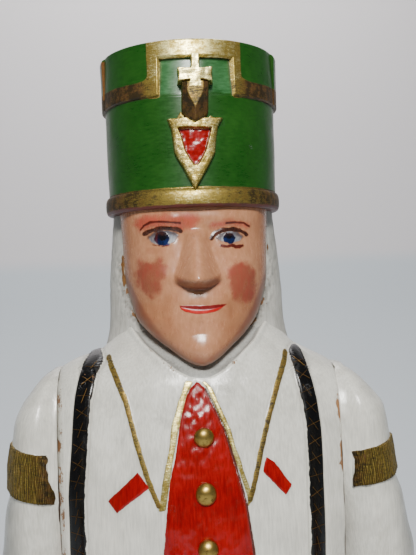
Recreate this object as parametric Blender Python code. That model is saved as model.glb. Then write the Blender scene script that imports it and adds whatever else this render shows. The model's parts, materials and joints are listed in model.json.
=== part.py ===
# Wooden miner figure lamp: a carved, painted miner in a tall shaft hat, holding an electric candle in each hand.
# Metres, +Z up. The figure looks along -Y, and the origin lies under the middle of the base.
import math

import bmesh
import bpy
from mathutils import Vector

MM = 0.001

# Driving sizes
FIGURE_HEIGHT = 750 * MM  # soles to hat top
GAP = 0.3 * MM  # left between pieces that touch
BASE_LENGTH = 250 * MM
BASE_DEPTH = 180 * MM
BASE_HEIGHT = 30 * MM
BASE_CHAMFER = 4 * MM
BUTTON_DIAMETER = 10.6 * MM
BUTTON_RISE = 3.8 * MM
BUTTON_COUNT = 5
BUTTON_TOP, BUTTON_SPACING = 543.5, 27.8  # in carving units, as below
BADGE_SHIELD_THICKNESS = 4.5 * MM
BADGE_CROSS_THICKNESS = 7.5 * MM
BADGE_KNOB_THICKNESS = 9.5 * MM
HOLDER_SPINDLE_RADIUS = 6 * MM
HOLDER_FOOT_RADIUS = 9 * MM
HOLDER_PAN_RADIUS = 19 * MM
HOLDER_CUP_RADIUS = 10.5 * MM
HOLDER_CUP_HEIGHT = 15 * MM
CANDLE_RADIUS = 7.5 * MM
CANDLE_LENGTH = 66 * MM
CANDLE_SEAT_DEPTH = 10 * MM
BULB_CAP_RADIUS = 4.8 * MM
BULB_CAP_LENGTH = 11 * MM
BULB_CAP_SEAT_DEPTH = 7 * MM
BULB_RADIUS = 5.8 * MM
BULB_LENGTH = 30 * MM
BULB_SHAPE = [(0, 0.5), (0.1, 0.66), (0.24, 0.92), (0.38, 1), (0.54, 0.93), (0.72, 0.66), (0.88, 0.33), (0.96, 0.16)]
BUSHING_BODY_RADIUS = 4.5 * MM
BUSHING_BODY_LENGTH = 9 * MM
BUSHING_FLANGE_RADIUS = 7 * MM
BUSHING_FLANGE_THICKNESS = 2 * MM
BUSHING_BORE_RADIUS = 1.8 * MM

# The carving keeps its proportions as shares of the figure's height: one carving unit is a 750th of it.
CARVING_UNITS = 750
UNIT = FIGURE_HEIGHT / CARVING_UNITS
SOLE_Z = BASE_HEIGHT + GAP

# Sections of the coat in carving units: height, half width, front depth, back depth
COAT = [
    (305, 92, 66, 62),
    (340, 87, 63, 59),
    (370, 81, 60, 54),
    (398, 73, 56, 47),
    (410, 71.5, 55, 45.5),
    (422, 73, 56, 45),
    (440, 79, 57.5, 44),
    (460, 87, 58, 44),
    (490, 94, 58, 45),
    (521, 96, 56, 45.5),
    (545, 96, 52, 45),
    (560, 92, 48.5, 43.5),
    (570, 85, 46, 41.5),
    (577, 74, 43.5, 39.5),
    (582, 64, 41, 37.5),
    (587, 52, 38, 35),
    (591, 36, 32, 28),
]
COAT_SIDE = 77  # the flat sides that the arms are glued to
BELT_BOTTOM, BELT_TOP, BELT_RISE = 399, 421, 1.8
SKIRT_FOLDS, SKIRT_FOLD_DEPTH = 8, 1.8
APRON_RISE, APRON_HALF_WIDTH, APRON_BOTTOM = 2.8, 56, 322

# Sections of the hood: height, half width, front depth and back depth about a line at HOOD_MIDDLE
HOOD = [
    (573, 57, 30, 46),
    (587, 53.5, 28, 44),
    (600, 51, 27, 43),
    (625, 49.5, 26, 42),
    (650, 47.5, 26, 42),
    (668, 46, 26, 42),
]
HOOD_MIDDLE = 6

# Sections of the face and the head behind it: height, half width, y of the front, y of the back, y of the widest line
HEAD = [
    (578.8, 4, -44, -34, -40),
    (580.2, 6, -47, -31, -39),
    (582.5, 8.5, -49.5, -27, -38),
    (588, 15, -50.5, -18, -35),
    (596, 25, -50, -6, -28),
    (605, 32.5, -48, 6, -18),
    (614, 37, -46, 14, -10),
    (626, 40, -45, 20, -6),
    (647, 41, -44, 20, -5),
    (668, 42, -44.5, 20, -5),
]

NOSE_BRIDGE, NOSE_TIP = 653, 624
EYE_HEIGHT, EYE_OUT, MOUTH_HEIGHT, CHIN_HEIGHT = 646, 17, 609, 590

# The hat: a tapered wall, a rolled band below, and an upper shell whose rim is cut out in a window at the front
HAT_TOP = 750
HAT_HEIGHT = 87.5
HAT_CROWN = HAT_TOP - 2.5
HAT_BAND_BOTTOM = HAT_TOP - HAT_HEIGHT
HAT_BAND_TOP, HAT_BAND_RADIUS = HAT_BAND_BOTTOM + 10, 50
HAT_WALL_FOOT_RADIUS, HAT_WALL_TOP_RADIUS = 47.9, 48.6
HAT_SHELL_BOTTOM, HAT_SHELL_RADIUS, HAT_SHELL_LEAN = HAT_TOP - 29, 50.2, 1.0
HAT_REAR_ANGLE, HAT_REAR_RISE, HAT_BORE = 73, 1.6, 44
HAT_WINDOW_HALF_WIDTH, HAT_WINDOW_TOP = 19, HAT_TOP - 9

# Sections of a leg: height, x and y of the middle, half width, half depth
LEG = [
    (20, 36, 5, 17, 19),
    (60, 35, 5, 18, 20),
    (100, 34.5, 6, 21, 24),
    (140, 34, 6, 24, 28),
    (170, 34, 2, 22, 25),
    (205, 34, -2, 25, 29),
    (250, 34, 0, 28.5, 36),
    (312, 36, 2, 33, 44),
]
BOOT_TOP, BOOT_RISE = 128, 1.6
KNEE_HEIGHT, KNEE_PAD_HALF = 203, 19
# Sections of a boot's foot: y, half width, height
FOOT = [(28, 12, 30), (22, 18, 40), (0, 19.5, 44), (-20, 20, 40), (-42, 22, 29), (-60, 20, 22), (-72, 13, 17), (-77, 5, 10)]
FOOT_TURN = math.radians(9)

# Sections of an upper arm: height, x of the outer side, x and y of the middle, half depth
UPPER_ARM = [
    (404, 110, 100, 5, 9),
    (410, 116, 100, 4, 17),
    (424, 121, 99, 3, 24),
    (441, 122, 98, 1, 25.5),
    (466, 121.5, 97, 0, 27.5),
    (481, 118.2, 95, -1, 28.8),
    (497, 115, 93, -2, 30),
    (512, 110.2, 91, -3, 31),
    (526, 108.8, 89.5, -3, 31.2),
    (537, 107.3, 88.5, -3, 31.2),
    (549, 105.2, 87, -3, 30),
    (558, 101.3, 85, -3, 27.5),
    (565, 95, 83, -2, 23),
    (570, 89, 81, -2, 17),
    (574, 82, 79, -2, 9),
]
RIGHT_ARM_LEAN, RIGHT_ARM_SHIFT = 0.096, 5.3  # the right arm hangs closer to the coat than the left
# Sections of a forearm, from elbow to wrist: y, x and z of the middle, half width, half height
FOREARM = [
    (18, 100, 420, 12, 11),
    (10, 100.5, 420, 17.5, 17.5),
    (-8, 102, 421, 19, 20),
    (-34, 105, 424, 17.5, 18.5),
    (-60, 109, 431, 15.5, 16.5),
    (-76, 111.5, 436, 15, 15.5),
]
CUFF_LENGTH, CUFF_RISE = 13, 1.6
WRIST_RADIUS = 11
FRINGE_HEIGHTS = {1: (509, 528), -1: (506.7, 532.6)}  # bottom and top at the glued side, left and right
FRINGE_TILT, FRINGE_RISE, FRINGE_FLUTES = 0.17, 1.6, 14
FIST = (112.5, -101, 444)
FIST_HALF_WIDTH, FIST_HALF_DEPTH, FIST_HALF_HEIGHT = 15, 17.5, 19
FINGERS, FINGER_GROOVE = 4, 1.5

# The badge on the hat: outlines of half width against the drop below the hat's top
BADGE_TILT = 0.5  # the whole badge stands this far to the side of the middle
SHIELD = [(14, 41.5), (14, 44), (11.3, 54), (10.2, 62), (9.6, 67)]
SHIELD_TIP = 78.2
FIELD = [(8.3, 48.5), (7.2, 58), (5.4, 64)]
FIELD_TIP, FIELD_DEPTH = 68.5, 2.6
CROSS_TOP, CROSS_BOTTOM, CROSS_HALF_UPRIGHT = 9.6, 25, 2.7
CROSS_ARM_TOP, CROSS_ARM_BOTTOM, CROSS_HALF_ARM = 16.2, 22.2, 9
KNOB_SHOULDER, KNOB_FACET_DEPTH = 37, 4.5
# Sections of the knob: drop, half width, half width of its face, how far the face is set back
KNOB_SECTIONS = [(24, 7, 4.3, 0), (37, 6.8, 2, 0.8), (42.5, 4.5, 0.6, 1.6), (44.5, 1.6, 0.2, 2.2)]
BADGE_ROOT = HAT_WALL_FOOT_RADIUS - 8  # how deep into the hat its pieces start before they are cut to the wall

COAT_COLUMNS, HEAD_COLUMNS, HOOD_COLUMNS, HAT_COLUMNS = 36, 32, 24, 48
LEG_COLUMNS, FOOT_COLUMNS, ARM_COLUMNS, FOREARM_COLUMNS = 14, 12, 16, 12
FIST_COLUMNS, TURNED_COLUMNS, BULB_COLUMNS, BUTTON_COLUMNS = 12, 16, 12, 12


def start_clean():
    for old in list(bpy.data.objects):
        bpy.data.objects.remove(old)


def place(x, y, z):
    """A point of the carving, in metres, standing on the base."""
    return Vector((x * UNIT, y * UNIT, SOLE_Z + z * UNIT))


def material(name, colour, roughness, metallic=0.0, alpha=1.0):
    made = bpy.data.materials.new(name)
    made.use_nodes = True
    shader = made.node_tree.nodes["Principled BSDF"]
    shader.inputs["Base Color"].default_value = (*colour, 1)
    shader.inputs["Roughness"].default_value = roughness
    shader.inputs["Metallic"].default_value = metallic
    shader.inputs["Alpha"].default_value = alpha
    return made


def add_object(name, bm, finish=None, smooth=True):
    bmesh.ops.recalc_face_normals(bm, faces=bm.faces)
    mesh = bpy.data.meshes.new(name)
    bm.to_mesh(mesh)
    bm.free()
    if smooth:
        mesh.shade_smooth()
        mesh.set_sharp_from_angle(angle=math.radians(35))
    made = bpy.data.objects.new(name, mesh)
    bpy.context.scene.collection.objects.link(made)
    if finish:
        mesh.materials.append(finish)
    return made


def as_guide(piece):
    piece.hide_render = True
    piece.display_type = "WIRE"
    return piece


def combine(target, operation, *others):
    """Joins other solids to the target or cuts them from it, and keeps them as hidden guides."""
    for other in others:
        step = target.modifiers.new(f"{operation.lower()} {other.name}", "BOOLEAN")
        step.operation = operation
        step.solver = "EXACT"
        step.object = as_guide(other)


def smooth_row(rows, at):
    """The row of a table at a place between its rows, on a smooth curve that doesn't overshoot them."""
    at = min(max(at, rows[0][0]), rows[-1][0])
    i = max(k for k in range(len(rows) - 1) if rows[k][0] <= at or k == 0)
    step = rows[i + 1][0] - rows[i][0]
    t = (at - rows[i][0]) / step
    found = []
    for column in range(1, len(rows[0])):
        ends = [tangent(rows, k, column) * step for k in (i, i + 1)]
        low, high = rows[i][column], rows[i + 1][column]
        found.append(
            low * (2 * t**3 - 3 * t**2 + 1)
            + ends[0] * (t**3 - 2 * t**2 + t)
            + high * (3 * t**2 - 2 * t**3)
            + ends[1] * (t**3 - t**2)
        )
    return found


def tangent(rows, k, column):
    """The slope of a column at row k: none at a turning point, and the sides' harmonic mean elsewhere."""

    def rise(low, high):
        return (rows[high][column] - rows[low][column]) / (rows[high][0] - rows[low][0])

    if k == 0:
        return rise(0, 1)
    if k == len(rows) - 1:
        return rise(k - 1, k)
    before, after = rise(k - 1, k), rise(k, k + 1)
    return 0 if before * after <= 0 else 2 * before * after / (before + after)


def loft(rings):
    """A closed skin over rings of points, with a flat cap at each end."""
    bm = bmesh.new()
    loops = [[bm.verts.new(point) for point in ring] for ring in rings]
    count = len(loops[0])
    for lower, upper in zip(loops, loops[1:]):
        for i in range(count):
            j = (i + 1) % count
            bm.faces.new((lower[i], lower[j], upper[j], upper[i]))
    bm.faces.new(loops[0])
    bm.faces.new(loops[-1])
    return bm


def turned(profile, centre, columns=TURNED_COLUMNS):
    """A turned solid: a closed profile of (radius, height) from the axis at the bottom to the axis at the top."""
    bm = bmesh.new()
    rows = []
    for radius, height in profile:
        if radius == 0:
            rows.append([bm.verts.new(centre + Vector((0, 0, height)))])
            continue
        angles = [math.tau * k / columns for k in range(columns)]
        ring = [Vector((radius * math.cos(a), radius * math.sin(a), height)) for a in angles]
        rows.append([bm.verts.new(centre + point) for point in ring])
    for lower, upper in zip(rows, rows[1:]):
        for i in range(columns):
            j = (i + 1) % columns
            corners = [lower[i % len(lower)], lower[j % len(lower)], upper[j % len(upper)], upper[i % len(upper)]]
            bm.faces.new(list(dict.fromkeys(corners)))
    return bm


def prism(outline, near, far):
    """An outline of (x, z) points in carving units, pulled along Y from near to far."""
    return loft([[place(x, y, z) for x, z in outline] for y in (near, far)])


def box(low, high):
    x0, x1, z0, z1 = low[0], high[0], low[2], high[2]
    return prism([(x0, z0), (x1, z0), (x1, z1), (x0, z1)], low[1], high[1])


def squared(value, power):
    """The sine or cosine of a rounded rectangle, which is squarer as the power grows from 2."""
    return math.copysign(abs(value) ** (2 / power), value)


def coat_ring(z, columns, rise=0.0):
    """One level of the coat, from the middle of the front round to it again."""
    half, front, back = smooth_row(COAT, z)
    fold = SKIRT_FOLD_DEPTH * max(0.0, BELT_BOTTOM - z) / (BELT_BOTTOM - COAT[0][0])
    points = []
    for k in range(columns):
        angle = math.tau * k / columns
        grow = rise - fold * (0.5 - 0.5 * math.cos(SKIRT_FOLDS * angle))
        depth = front if math.cos(angle) > 0 else back
        x = (half + grow) * math.sin(angle)
        y = -(depth + grow) * math.cos(angle)
        if z > BELT_TOP:
            x = min(max(x, -COAT_SIDE), COAT_SIDE)
        points.append(place(x, y, z))
    return points


def coat_front(x, z):
    """The y of the coat's front, in carving units."""
    half, front, _ = smooth_row(COAT, z)
    return -front * math.sqrt(1 - (x / half) ** 2)


def coat():
    levels = [305, 330, 358, 382, 398.5, 421.4, 440, 462, 490, 520, 540, 553, 563, 571, 577, 582.5, 587.5, 591]
    belt = [(BELT_BOTTOM, BELT_RISE), (BELT_TOP, BELT_RISE)]
    rows = sorted([(z, 0.0) for z in levels] + belt)
    return loft([coat_ring(z, COAT_COLUMNS, rise) for z, rise in rows])


def apron():
    """The leather apron that a miner wears behind: a raised layer of the skirt inside a rounded outline."""
    levels = [312, 330, 358, 382, 398.5, 408]
    layer = add_object("apron_layer", loft([coat_ring(z, COAT_COLUMNS, APRON_RISE) for z in levels]))
    straight = 362
    arc = [(APRON_HALF_WIDTH * math.cos(a), straight - (straight - APRON_BOTTOM) * math.sin(a)) for a in
           (math.pi * k / 12 for k in range(13))]
    outline = [*arc, (-APRON_HALF_WIDTH + 8, 406), (APRON_HALF_WIDTH - 8, 406)]
    cut = add_object("apron_outline", prism(outline, 10, 90))
    combine(layer, "INTERSECT", cut)
    return layer


def hood():
    levels = [573, 580, 588, 600, 622, 645, 668]
    rings = []
    for z in levels:
        half, front, back = smooth_row(HOOD, z)
        ring = []
        for k in range(HOOD_COLUMNS):
            angle = math.tau * k / HOOD_COLUMNS
            depth = front if math.cos(angle) > 0 else back
            across = half * squared(math.sin(angle), 2.4)
            ring.append(place(across, HOOD_MIDDLE - depth * squared(math.cos(angle), 2.4), z))
        rings.append(ring)
    return loft(rings)


def bump(x, z, at_x, at_z, wide, tall):
    return math.exp(-(((x - at_x) / wide) ** 2) - ((z - at_z) / tall) ** 2)


def face_relief(x, z):
    """How far the face stands forward of the plain head: the nose, brows, sockets, cheeks, lips and chin."""
    bridge, tip = NOSE_BRIDGE, NOSE_TIP
    under = NOSE_TIP - 8 + 7 * min(abs(x) / 13, 1) ** 2
    run = min(max((bridge - z) / (bridge - tip), 0), 1)
    height = 2.0 * min(run * 5, 1) + 13 * run**1.35
    if z < tip:
        height *= math.sqrt(max(0.0, 1 - ((tip - z) / (tip - under)) ** 2)) if z > under else 0
    across = min(abs(x) / (5 + 9 * run), 1)
    nose = height * (1 - across**2) ** 1.2
    sockets = -2.2 * bump(abs(x), z, EYE_OUT, EYE_HEIGHT, 9, 5)
    brows = 1.2 * bump(abs(x), z, EYE_OUT, EYE_HEIGHT + 9, 12, 3)
    cheeks = 1.6 * bump(abs(x), z, EYE_OUT + 8, EYE_HEIGHT - 19, 9, 10)
    mouth = 2.2 * bump(x, z, 2, MOUTH_HEIGHT, 12, 4)
    chin = 2.5 * bump(x, z, 0, CHIN_HEIGHT, 11, 6)
    return nose + sockets + brows + cheeks + mouth + chin


def head():
    levels = [578.8, 580.2, 582.5, 586, 590.5, 595, 600, 604.5, 608, 612]
    levels += [616, 618.5, 621, 624, 630, 636, 642, 647, 651, 655, 668]
    rings = []
    for z in levels:
        half, front, back, middle = smooth_row(HEAD, z)
        ring = []
        for k in range(HEAD_COLUMNS):
            turn = 2 * k / HEAD_COLUMNS - 1
            angle = math.pi * turn * (0.62 + 0.38 * abs(turn))
            depth = middle - front if math.cos(angle) > 0 else back - middle
            x = half * squared(math.sin(angle), 2.3)
            y = middle - depth * squared(math.cos(angle), 2.3)
            if math.cos(angle) > 0:
                y -= face_relief(x, z) * math.cos(angle) ** 0.5
            ring.append(place(x, y, z))
        rings.append(ring)
    return loft(rings)


def hat_radius(z):
    """The radius of the hat's wall, in carving units."""
    share = (z - HAT_BAND_TOP) / (HAT_SHELL_BOTTOM - HAT_BAND_TOP)
    return HAT_WALL_FOOT_RADIUS + (HAT_WALL_TOP_RADIUS - HAT_WALL_FOOT_RADIUS) * share


def hat_body(name, profile):
    """A turned solid of the hat from a profile in carving units."""
    return add_object(name, turned([(r * UNIT, z * UNIT) for r, z in profile], Vector((0, 0, SOLE_Z)), HAT_COLUMNS))


def hat():
    """The wall and band of the hat, and its upper shell with the window."""
    middle = (HAT_BAND_BOTTOM + HAT_BAND_TOP) / 2
    half_band = (HAT_BAND_TOP - HAT_BAND_BOTTOM) / 2
    roll = [(HAT_BAND_RADIUS - 2.2 * (1 - math.cos(a)), middle + half_band * math.sin(a)) for a in
            (math.pi / 2 * (k / 2 - 1) for k in range(5))]
    wall = hat_body("hat_wall", [(0, roll[0][1]), *roll, (hat_radius(HAT_BAND_TOP), HAT_BAND_TOP + 0.4),
                                 (hat_radius(HAT_CROWN), HAT_CROWN), (0, HAT_CROWN)])
    shell = add_object("hat_shell", hat_shell())
    window = add_object("hat_window", box((-HAT_WINDOW_HALF_WIDTH, -60, HAT_SHELL_BOTTOM - 2),
                                          (HAT_WINDOW_HALF_WIDTH, -20, HAT_WINDOW_TOP)))
    combine(shell, "DIFFERENCE", window)
    return wall, shell


def hat_shell():
    """The ring round the top of the hat: its rear half steps out, and its front leans in towards the top."""
    step = math.radians(HAT_REAR_ANGLE)
    width = math.radians(0.4)
    even = [math.tau * k / HAT_COLUMNS for k in range(HAT_COLUMNS)]
    turns = [(angle, step < angle < math.tau - step) for angle in even]
    turns += [(step - width, False), (step, True), (math.tau - step, True), (math.tau - step + width, False)]
    bm = bmesh.new()
    loops = []
    for angle, behind in sorted(turns):
        foot = HAT_SHELL_RADIUS + 0.3 * behind
        top = HAT_SHELL_RADIUS - HAT_SHELL_LEAN + HAT_REAR_RISE * behind
        section = [(HAT_BORE, HAT_SHELL_BOTTOM), (foot, HAT_SHELL_BOTTOM), (top, HAT_TOP), (HAT_BORE, HAT_TOP)]
        loops.append([bm.verts.new(place(r * math.sin(angle), -r * math.cos(angle), z)) for r, z in section])
    for k, near in enumerate(loops):
        far = loops[(k + 1) % len(loops)]
        for i in range(len(near)):
            j = (i + 1) % len(near)
            bm.faces.new((near[i], near[j], far[j], far[i]))
    return bm


def leg(side):
    levels = [20, 60, 95, 127, 128, 150, 172, 186, 203, 220, 250, 285, 312]
    rings = []
    for z in levels:
        x, y, half_width, half_depth = smooth_row(LEG, z)
        rise = BOOT_RISE if z < BOOT_TOP else 0
        ring = []
        for k in range(LEG_COLUMNS):
            angle = math.tau * k / LEG_COLUMNS
            pad = 0.0
            if math.cos(angle) > 0.3 and abs(z - KNEE_HEIGHT) < KNEE_PAD_HALF:
                pad = 2.6
            ring.append(place(side * x + (half_width + rise) * math.sin(angle),
                              y - (half_depth + rise + pad) * math.cos(angle), z))
        rings.append(ring)
    return loft(rings)


def foot(side):
    """A boot's foot, flat below, turned outwards."""
    rings = []
    columns = FOOT_COLUMNS
    ankle_x, ankle_y = LEG[0][1], LEG[0][2]
    for along, half_width, height in FOOT:
        ring = []
        for k in range(columns):
            angle = math.tau * k / columns
            across = half_width * squared(math.cos(angle), 2.6)
            up = max(0.0, height * (0.4 + 0.6 * squared(math.sin(angle), 2.6)))
            x = across * math.cos(FOOT_TURN) - along * math.sin(FOOT_TURN)
            y = along * math.cos(FOOT_TURN) + across * math.sin(FOOT_TURN)
            ring.append(place(side * (ankle_x + x), ankle_y + y, up))
        rings.append(ring)
    return loft(rings)


def figure(finish):
    body = add_object("figure", coat(), finish)
    buckle_front = -(COAT[4][2] + BELT_RISE + 2.2)
    buckle = add_object("buckle", box((-15, buckle_front, BELT_BOTTOM - 1), (15, -40, BELT_TOP + 1)))
    parts = [apron(), add_object("hood", hood()), add_object("head", head()), *hat(), buckle]
    for side, word in ((1, "left"), (-1, "right")):
        parts.append(add_object(f"leg_{word}", leg(side)))
        parts.append(add_object(f"foot_{word}", foot(side)))
    combine(body, "UNION", *parts)
    return body


def upper_arm(side):
    """The upper sleeve. Its inner side is cut flat where it is glued to the coat."""
    levels = [404, 409, 417, 432, 457, 482, 500, 513, 538, 550, 559, 566, 571, 574]
    rings = []
    for z in levels:
        outer, x, y, half_depth = upper_arm_row(side, z)
        rings.append(arm_ring(side, ARM_COLUMNS, (x, y, outer - x, half_depth), z))
    return loft(rings)


def arm_shift(side, z):
    """How far the right arm is brought in at a height."""
    return 0 if side > 0 else min(max(0.0, (520 - z) * RIGHT_ARM_LEAN), RIGHT_ARM_SHIFT)


def upper_arm_row(side, z):
    outer, x, y, half_depth = smooth_row(UPPER_ARM, z)
    shift = arm_shift(side, z)
    return outer - shift, x - shift, y, half_depth


def arm_ring(side, columns, oval, z):
    """One level of the upper arm, from the oval's middle, half width and half depth."""
    x, y, half_width, half_depth = oval
    flat = COAT_SIDE + GAP / UNIT
    ring = []
    for k in range(columns):
        angle = math.tau * k / columns
        ring.append(place(side * max(x + half_width * math.cos(angle), flat), y + half_depth * math.sin(angle), z))
    return ring


def forearm(side):
    """The sleeve from the elbow to its cuff, and the wrist that comes out of it into the fist."""
    end = FOREARM[-1][0]
    rows = sorted(FOREARM)
    places = [(y, 0.0) for y in (18, 13, 2, -20, -44, end + CUFF_LENGTH)]
    places += [(end + CUFF_LENGTH - 0.3, CUFF_RISE), (end, CUFF_RISE)]
    rings = [forearm_ring(side, y, *smooth_row(rows, y), rise) for y, rise in places]
    x, z = FOREARM[-1][1:3]
    rings.append(forearm_ring(side, end, x, z, WRIST_RADIUS, WRIST_RADIUS, 0))
    rings.append(forearm_ring(side, FIST[1] + 6, FIST[0], FIST[2] - 1, WRIST_RADIUS, WRIST_RADIUS, 0))
    return loft(rings)


def forearm_ring(side, y, x, z, half_width, half_height, rise):
    x -= arm_shift(side, z)
    angles = [math.tau * (k + 0.5) / FOREARM_COLUMNS for k in range(FOREARM_COLUMNS)]
    half_width, half_height = half_width + rise, half_height + rise
    return [place(side * (x + half_width * math.cos(a)), y, z + half_height * math.sin(a)) for a in angles]


def fringe(side):
    """The fluted shoulder fringe. It rises outwards and flares a little towards its lower edge."""
    flat = COAT_SIDE + GAP / UNIT
    rings = []
    for foot, rise in zip(FRINGE_HEIGHTS[side], (FRINGE_RISE, 0.5 * FRINGE_RISE)):
        ring = []
        for k in range(2 * FRINGE_FLUTES):
            angle = math.tau * k / (2 * FRINGE_FLUTES)
            grow = rise + (0.35 if k % 2 else -0.35)
            outer, x, y, half_depth = upper_arm_row(side, foot + FRINGE_TILT * 28)
            across = max(x + (outer - x + grow) * math.cos(angle), flat)
            height = foot + FRINGE_TILT * (across - flat)
            ring.append(place(side * across, y + (half_depth + grow) * math.sin(angle), height))
        rings.append(ring)
    return loft(rings)


def fist(side):
    """Four fingers closed round the candle holder, one above another."""
    middle_x = FIST[0] - arm_shift(side, FIST[2])
    rings = []
    rows = 2 * FINGERS
    for k in range(rows + 1):
        share = k / rows
        groove = FINGER_GROOVE * (k % 2 == 0)
        end = 3.5 * (k in (0, rows))
        z = FIST[2] + FIST_HALF_HEIGHT * (2 * share - 1)
        ring = []
        for j in range(FIST_COLUMNS):
            angle = math.tau * j / FIST_COLUMNS
            cut = end + groove * (math.cos(angle) > -0.2)
            ring.append(place(side * (middle_x + (FIST_HALF_WIDTH - cut) * squared(math.sin(angle), 2.6)),
                              FIST[1] - (FIST_HALF_DEPTH - cut) * squared(math.cos(angle), 2.6), z))
        rings.append(ring)
    return loft(rings)


def thumb(side):
    """The thumb, laid across the inner side above the fingers."""
    middle = Vector(FIST) - Vector((arm_shift(side, FIST[2]), 0, 0))
    start, end = middle + Vector((-11, 8, 13)), middle + Vector((-6, -17, 15))
    columns = 8
    ahead = (end - start).normalized()
    up = Vector((0, 0, 1))
    across = ahead.cross(up).normalized()
    rings = []
    for share, radius in ((0, 2), (0.12, 5.5), (0.7, 5.2), (0.93, 4), (1, 1.8)):
        centre = start.lerp(end, share)
        angles = [math.tau * k / columns for k in range(columns)]
        points = [centre + radius * (across * math.cos(a) + up * math.sin(a)) for a in angles]
        rings.append([place(side * p.x, p.y, p.z) for p in points])
    return loft(rings)


def grip(side):
    """The middle of the fist, where the candle holder's spindle runs."""
    return place(side * (FIST[0] - arm_shift(side, FIST[2])), FIST[1], FIST[2])


def arm(side, word, finish):
    sleeve = add_object(f"arm_{word}", upper_arm(side), finish)
    hole_half = (FIST_HALF_HEIGHT + 8) * UNIT
    radius = HOLDER_SPINDLE_RADIUS + GAP
    hole = [(0, -hole_half), (radius, -hole_half), (radius, hole_half), (0, hole_half)]
    parts = [add_object(f"{name}_{word}", make(side)) for name, make in
             (("fringe", fringe), ("forearm", forearm), ("fist", fist), ("thumb", thumb))]
    combine(sleeve, "UNION", *parts)
    combine(sleeve, "DIFFERENCE", add_object(f"grip_hole_{word}", turned(hole, grip(side))))


def outline_prism(half_outline, tip, thickness):
    """A badge shape from its right half, with its tip below, as thick as stated in front of the hat's wall."""
    right = [(BADGE_TILT + x, HAT_TOP - drop) for x, drop in half_outline]
    left = [(BADGE_TILT - x, HAT_TOP - drop) for x, drop in reversed(half_outline)]
    front = -(hat_radius(HAT_TOP - tip) + thickness / UNIT)
    return prism([*right, (BADGE_TILT, HAT_TOP - tip), *left], -BADGE_ROOT, front)


def knob_solid():
    """A block that is rounded below, with a facet cut back on each side of its pointed face."""
    front = -(hat_radius(HAT_TOP - KNOB_SHOULDER) + BADGE_KNOB_THICKNESS / UNIT)
    rings = []
    for drop, half, face, set_back in KNOB_SECTIONS:
        flank, middle = front + KNOB_FACET_DEPTH, front + set_back
        points = [(-half, flank), (-face, middle), (face, middle), (half, flank)]
        points += [(half, -BADGE_ROOT), (-half, -BADGE_ROOT)]
        rings.append([place(BADGE_TILT + x, y, HAT_TOP - drop) for x, y in points])
    return loft(rings)


def badge_bar(half_width, top, bottom, front, root):
    """A straight bar of the cross between two drops below the hat's top."""
    return box((BADGE_TILT - half_width, front, HAT_TOP - bottom), (BADGE_TILT + half_width, root, HAT_TOP - top))


def hat_badge(finish):
    """The carved badge on the hat: a shield with a sunk field, a knob above it, and a cross."""
    front = -(hat_radius(HAT_TOP - CROSS_ARM_TOP) + BADGE_CROSS_THICKNESS / UNIT)
    badge = add_object("hat_badge", outline_prism(SHIELD, SHIELD_TIP, BADGE_SHIELD_THICKNESS), finish)
    floor = -(hat_radius(HAT_TOP - FIELD_TIP) + BADGE_SHIELD_THICKNESS / UNIT - FIELD_DEPTH)
    field_points = [(BADGE_TILT + x, HAT_TOP - drop) for x, drop in FIELD]
    field_points += [(BADGE_TILT, HAT_TOP - FIELD_TIP)]
    field_points += [(BADGE_TILT - x, HAT_TOP - drop) for x, drop in FIELD[::-1]]
    field = add_object("badge_field", prism(field_points, floor, floor - BADGE_CROSS_THICKNESS / UNIT))
    knob = add_object("badge_knob", knob_solid())
    upright_bar = badge_bar(CROSS_HALF_UPRIGHT, CROSS_TOP, CROSS_BOTTOM, front, -BADGE_ROOT)
    arm_bar = badge_bar(CROSS_HALF_ARM, CROSS_ARM_TOP, CROSS_ARM_BOTTOM, front + 0.4, -BADGE_ROOT - 0.5)
    upright = add_object("badge_upright", upright_bar)
    arms = add_object("badge_arms", arm_bar)
    room = GAP / UNIT
    band = HAT_BAND_RADIUS + room
    wall = [(0, HAT_BAND_BOTTOM - 5), (band, HAT_BAND_BOTTOM - 5), (band, HAT_BAND_TOP - 1.5)]
    wall += [(hat_radius(z) + room, z) for z in (HAT_BAND_TOP, HAT_TOP)]
    wall += [(0, HAT_TOP)]
    seat = hat_body("badge_seat", wall)
    combine(badge, "DIFFERENCE", field)
    combine(badge, "UNION", knob, upright, arms)
    combine(badge, "DIFFERENCE", seat)


def button(number, finish):
    """A domed nail head down the middle of the waistcoat, square to the cloth under it."""
    radius = BUTTON_DIAMETER / 2
    z = BUTTON_TOP - BUTTON_SPACING * (number - 1)
    lean = (coat_front(0, z + 4) - coat_front(0, z - 4)) / 8
    dome = turned([(0, 0), (radius * 0.93, 0), (radius, 0.08 * BUTTON_RISE), (radius * 0.8, 0.55 * BUTTON_RISE),
                   (radius * 0.42, 0.9 * BUTTON_RISE), (0, BUTTON_RISE)], Vector(), BUTTON_COLUMNS)
    piece = add_object(f"button_{number}", dome, finish)
    facing = Vector((0, -1, lean)).normalized()
    piece.rotation_mode = "QUATERNION"
    piece.rotation_quaternion = facing.to_track_quat("Z", "Y")
    piece.location = place(0, coat_front(0, z), z) + facing * GAP


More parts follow.
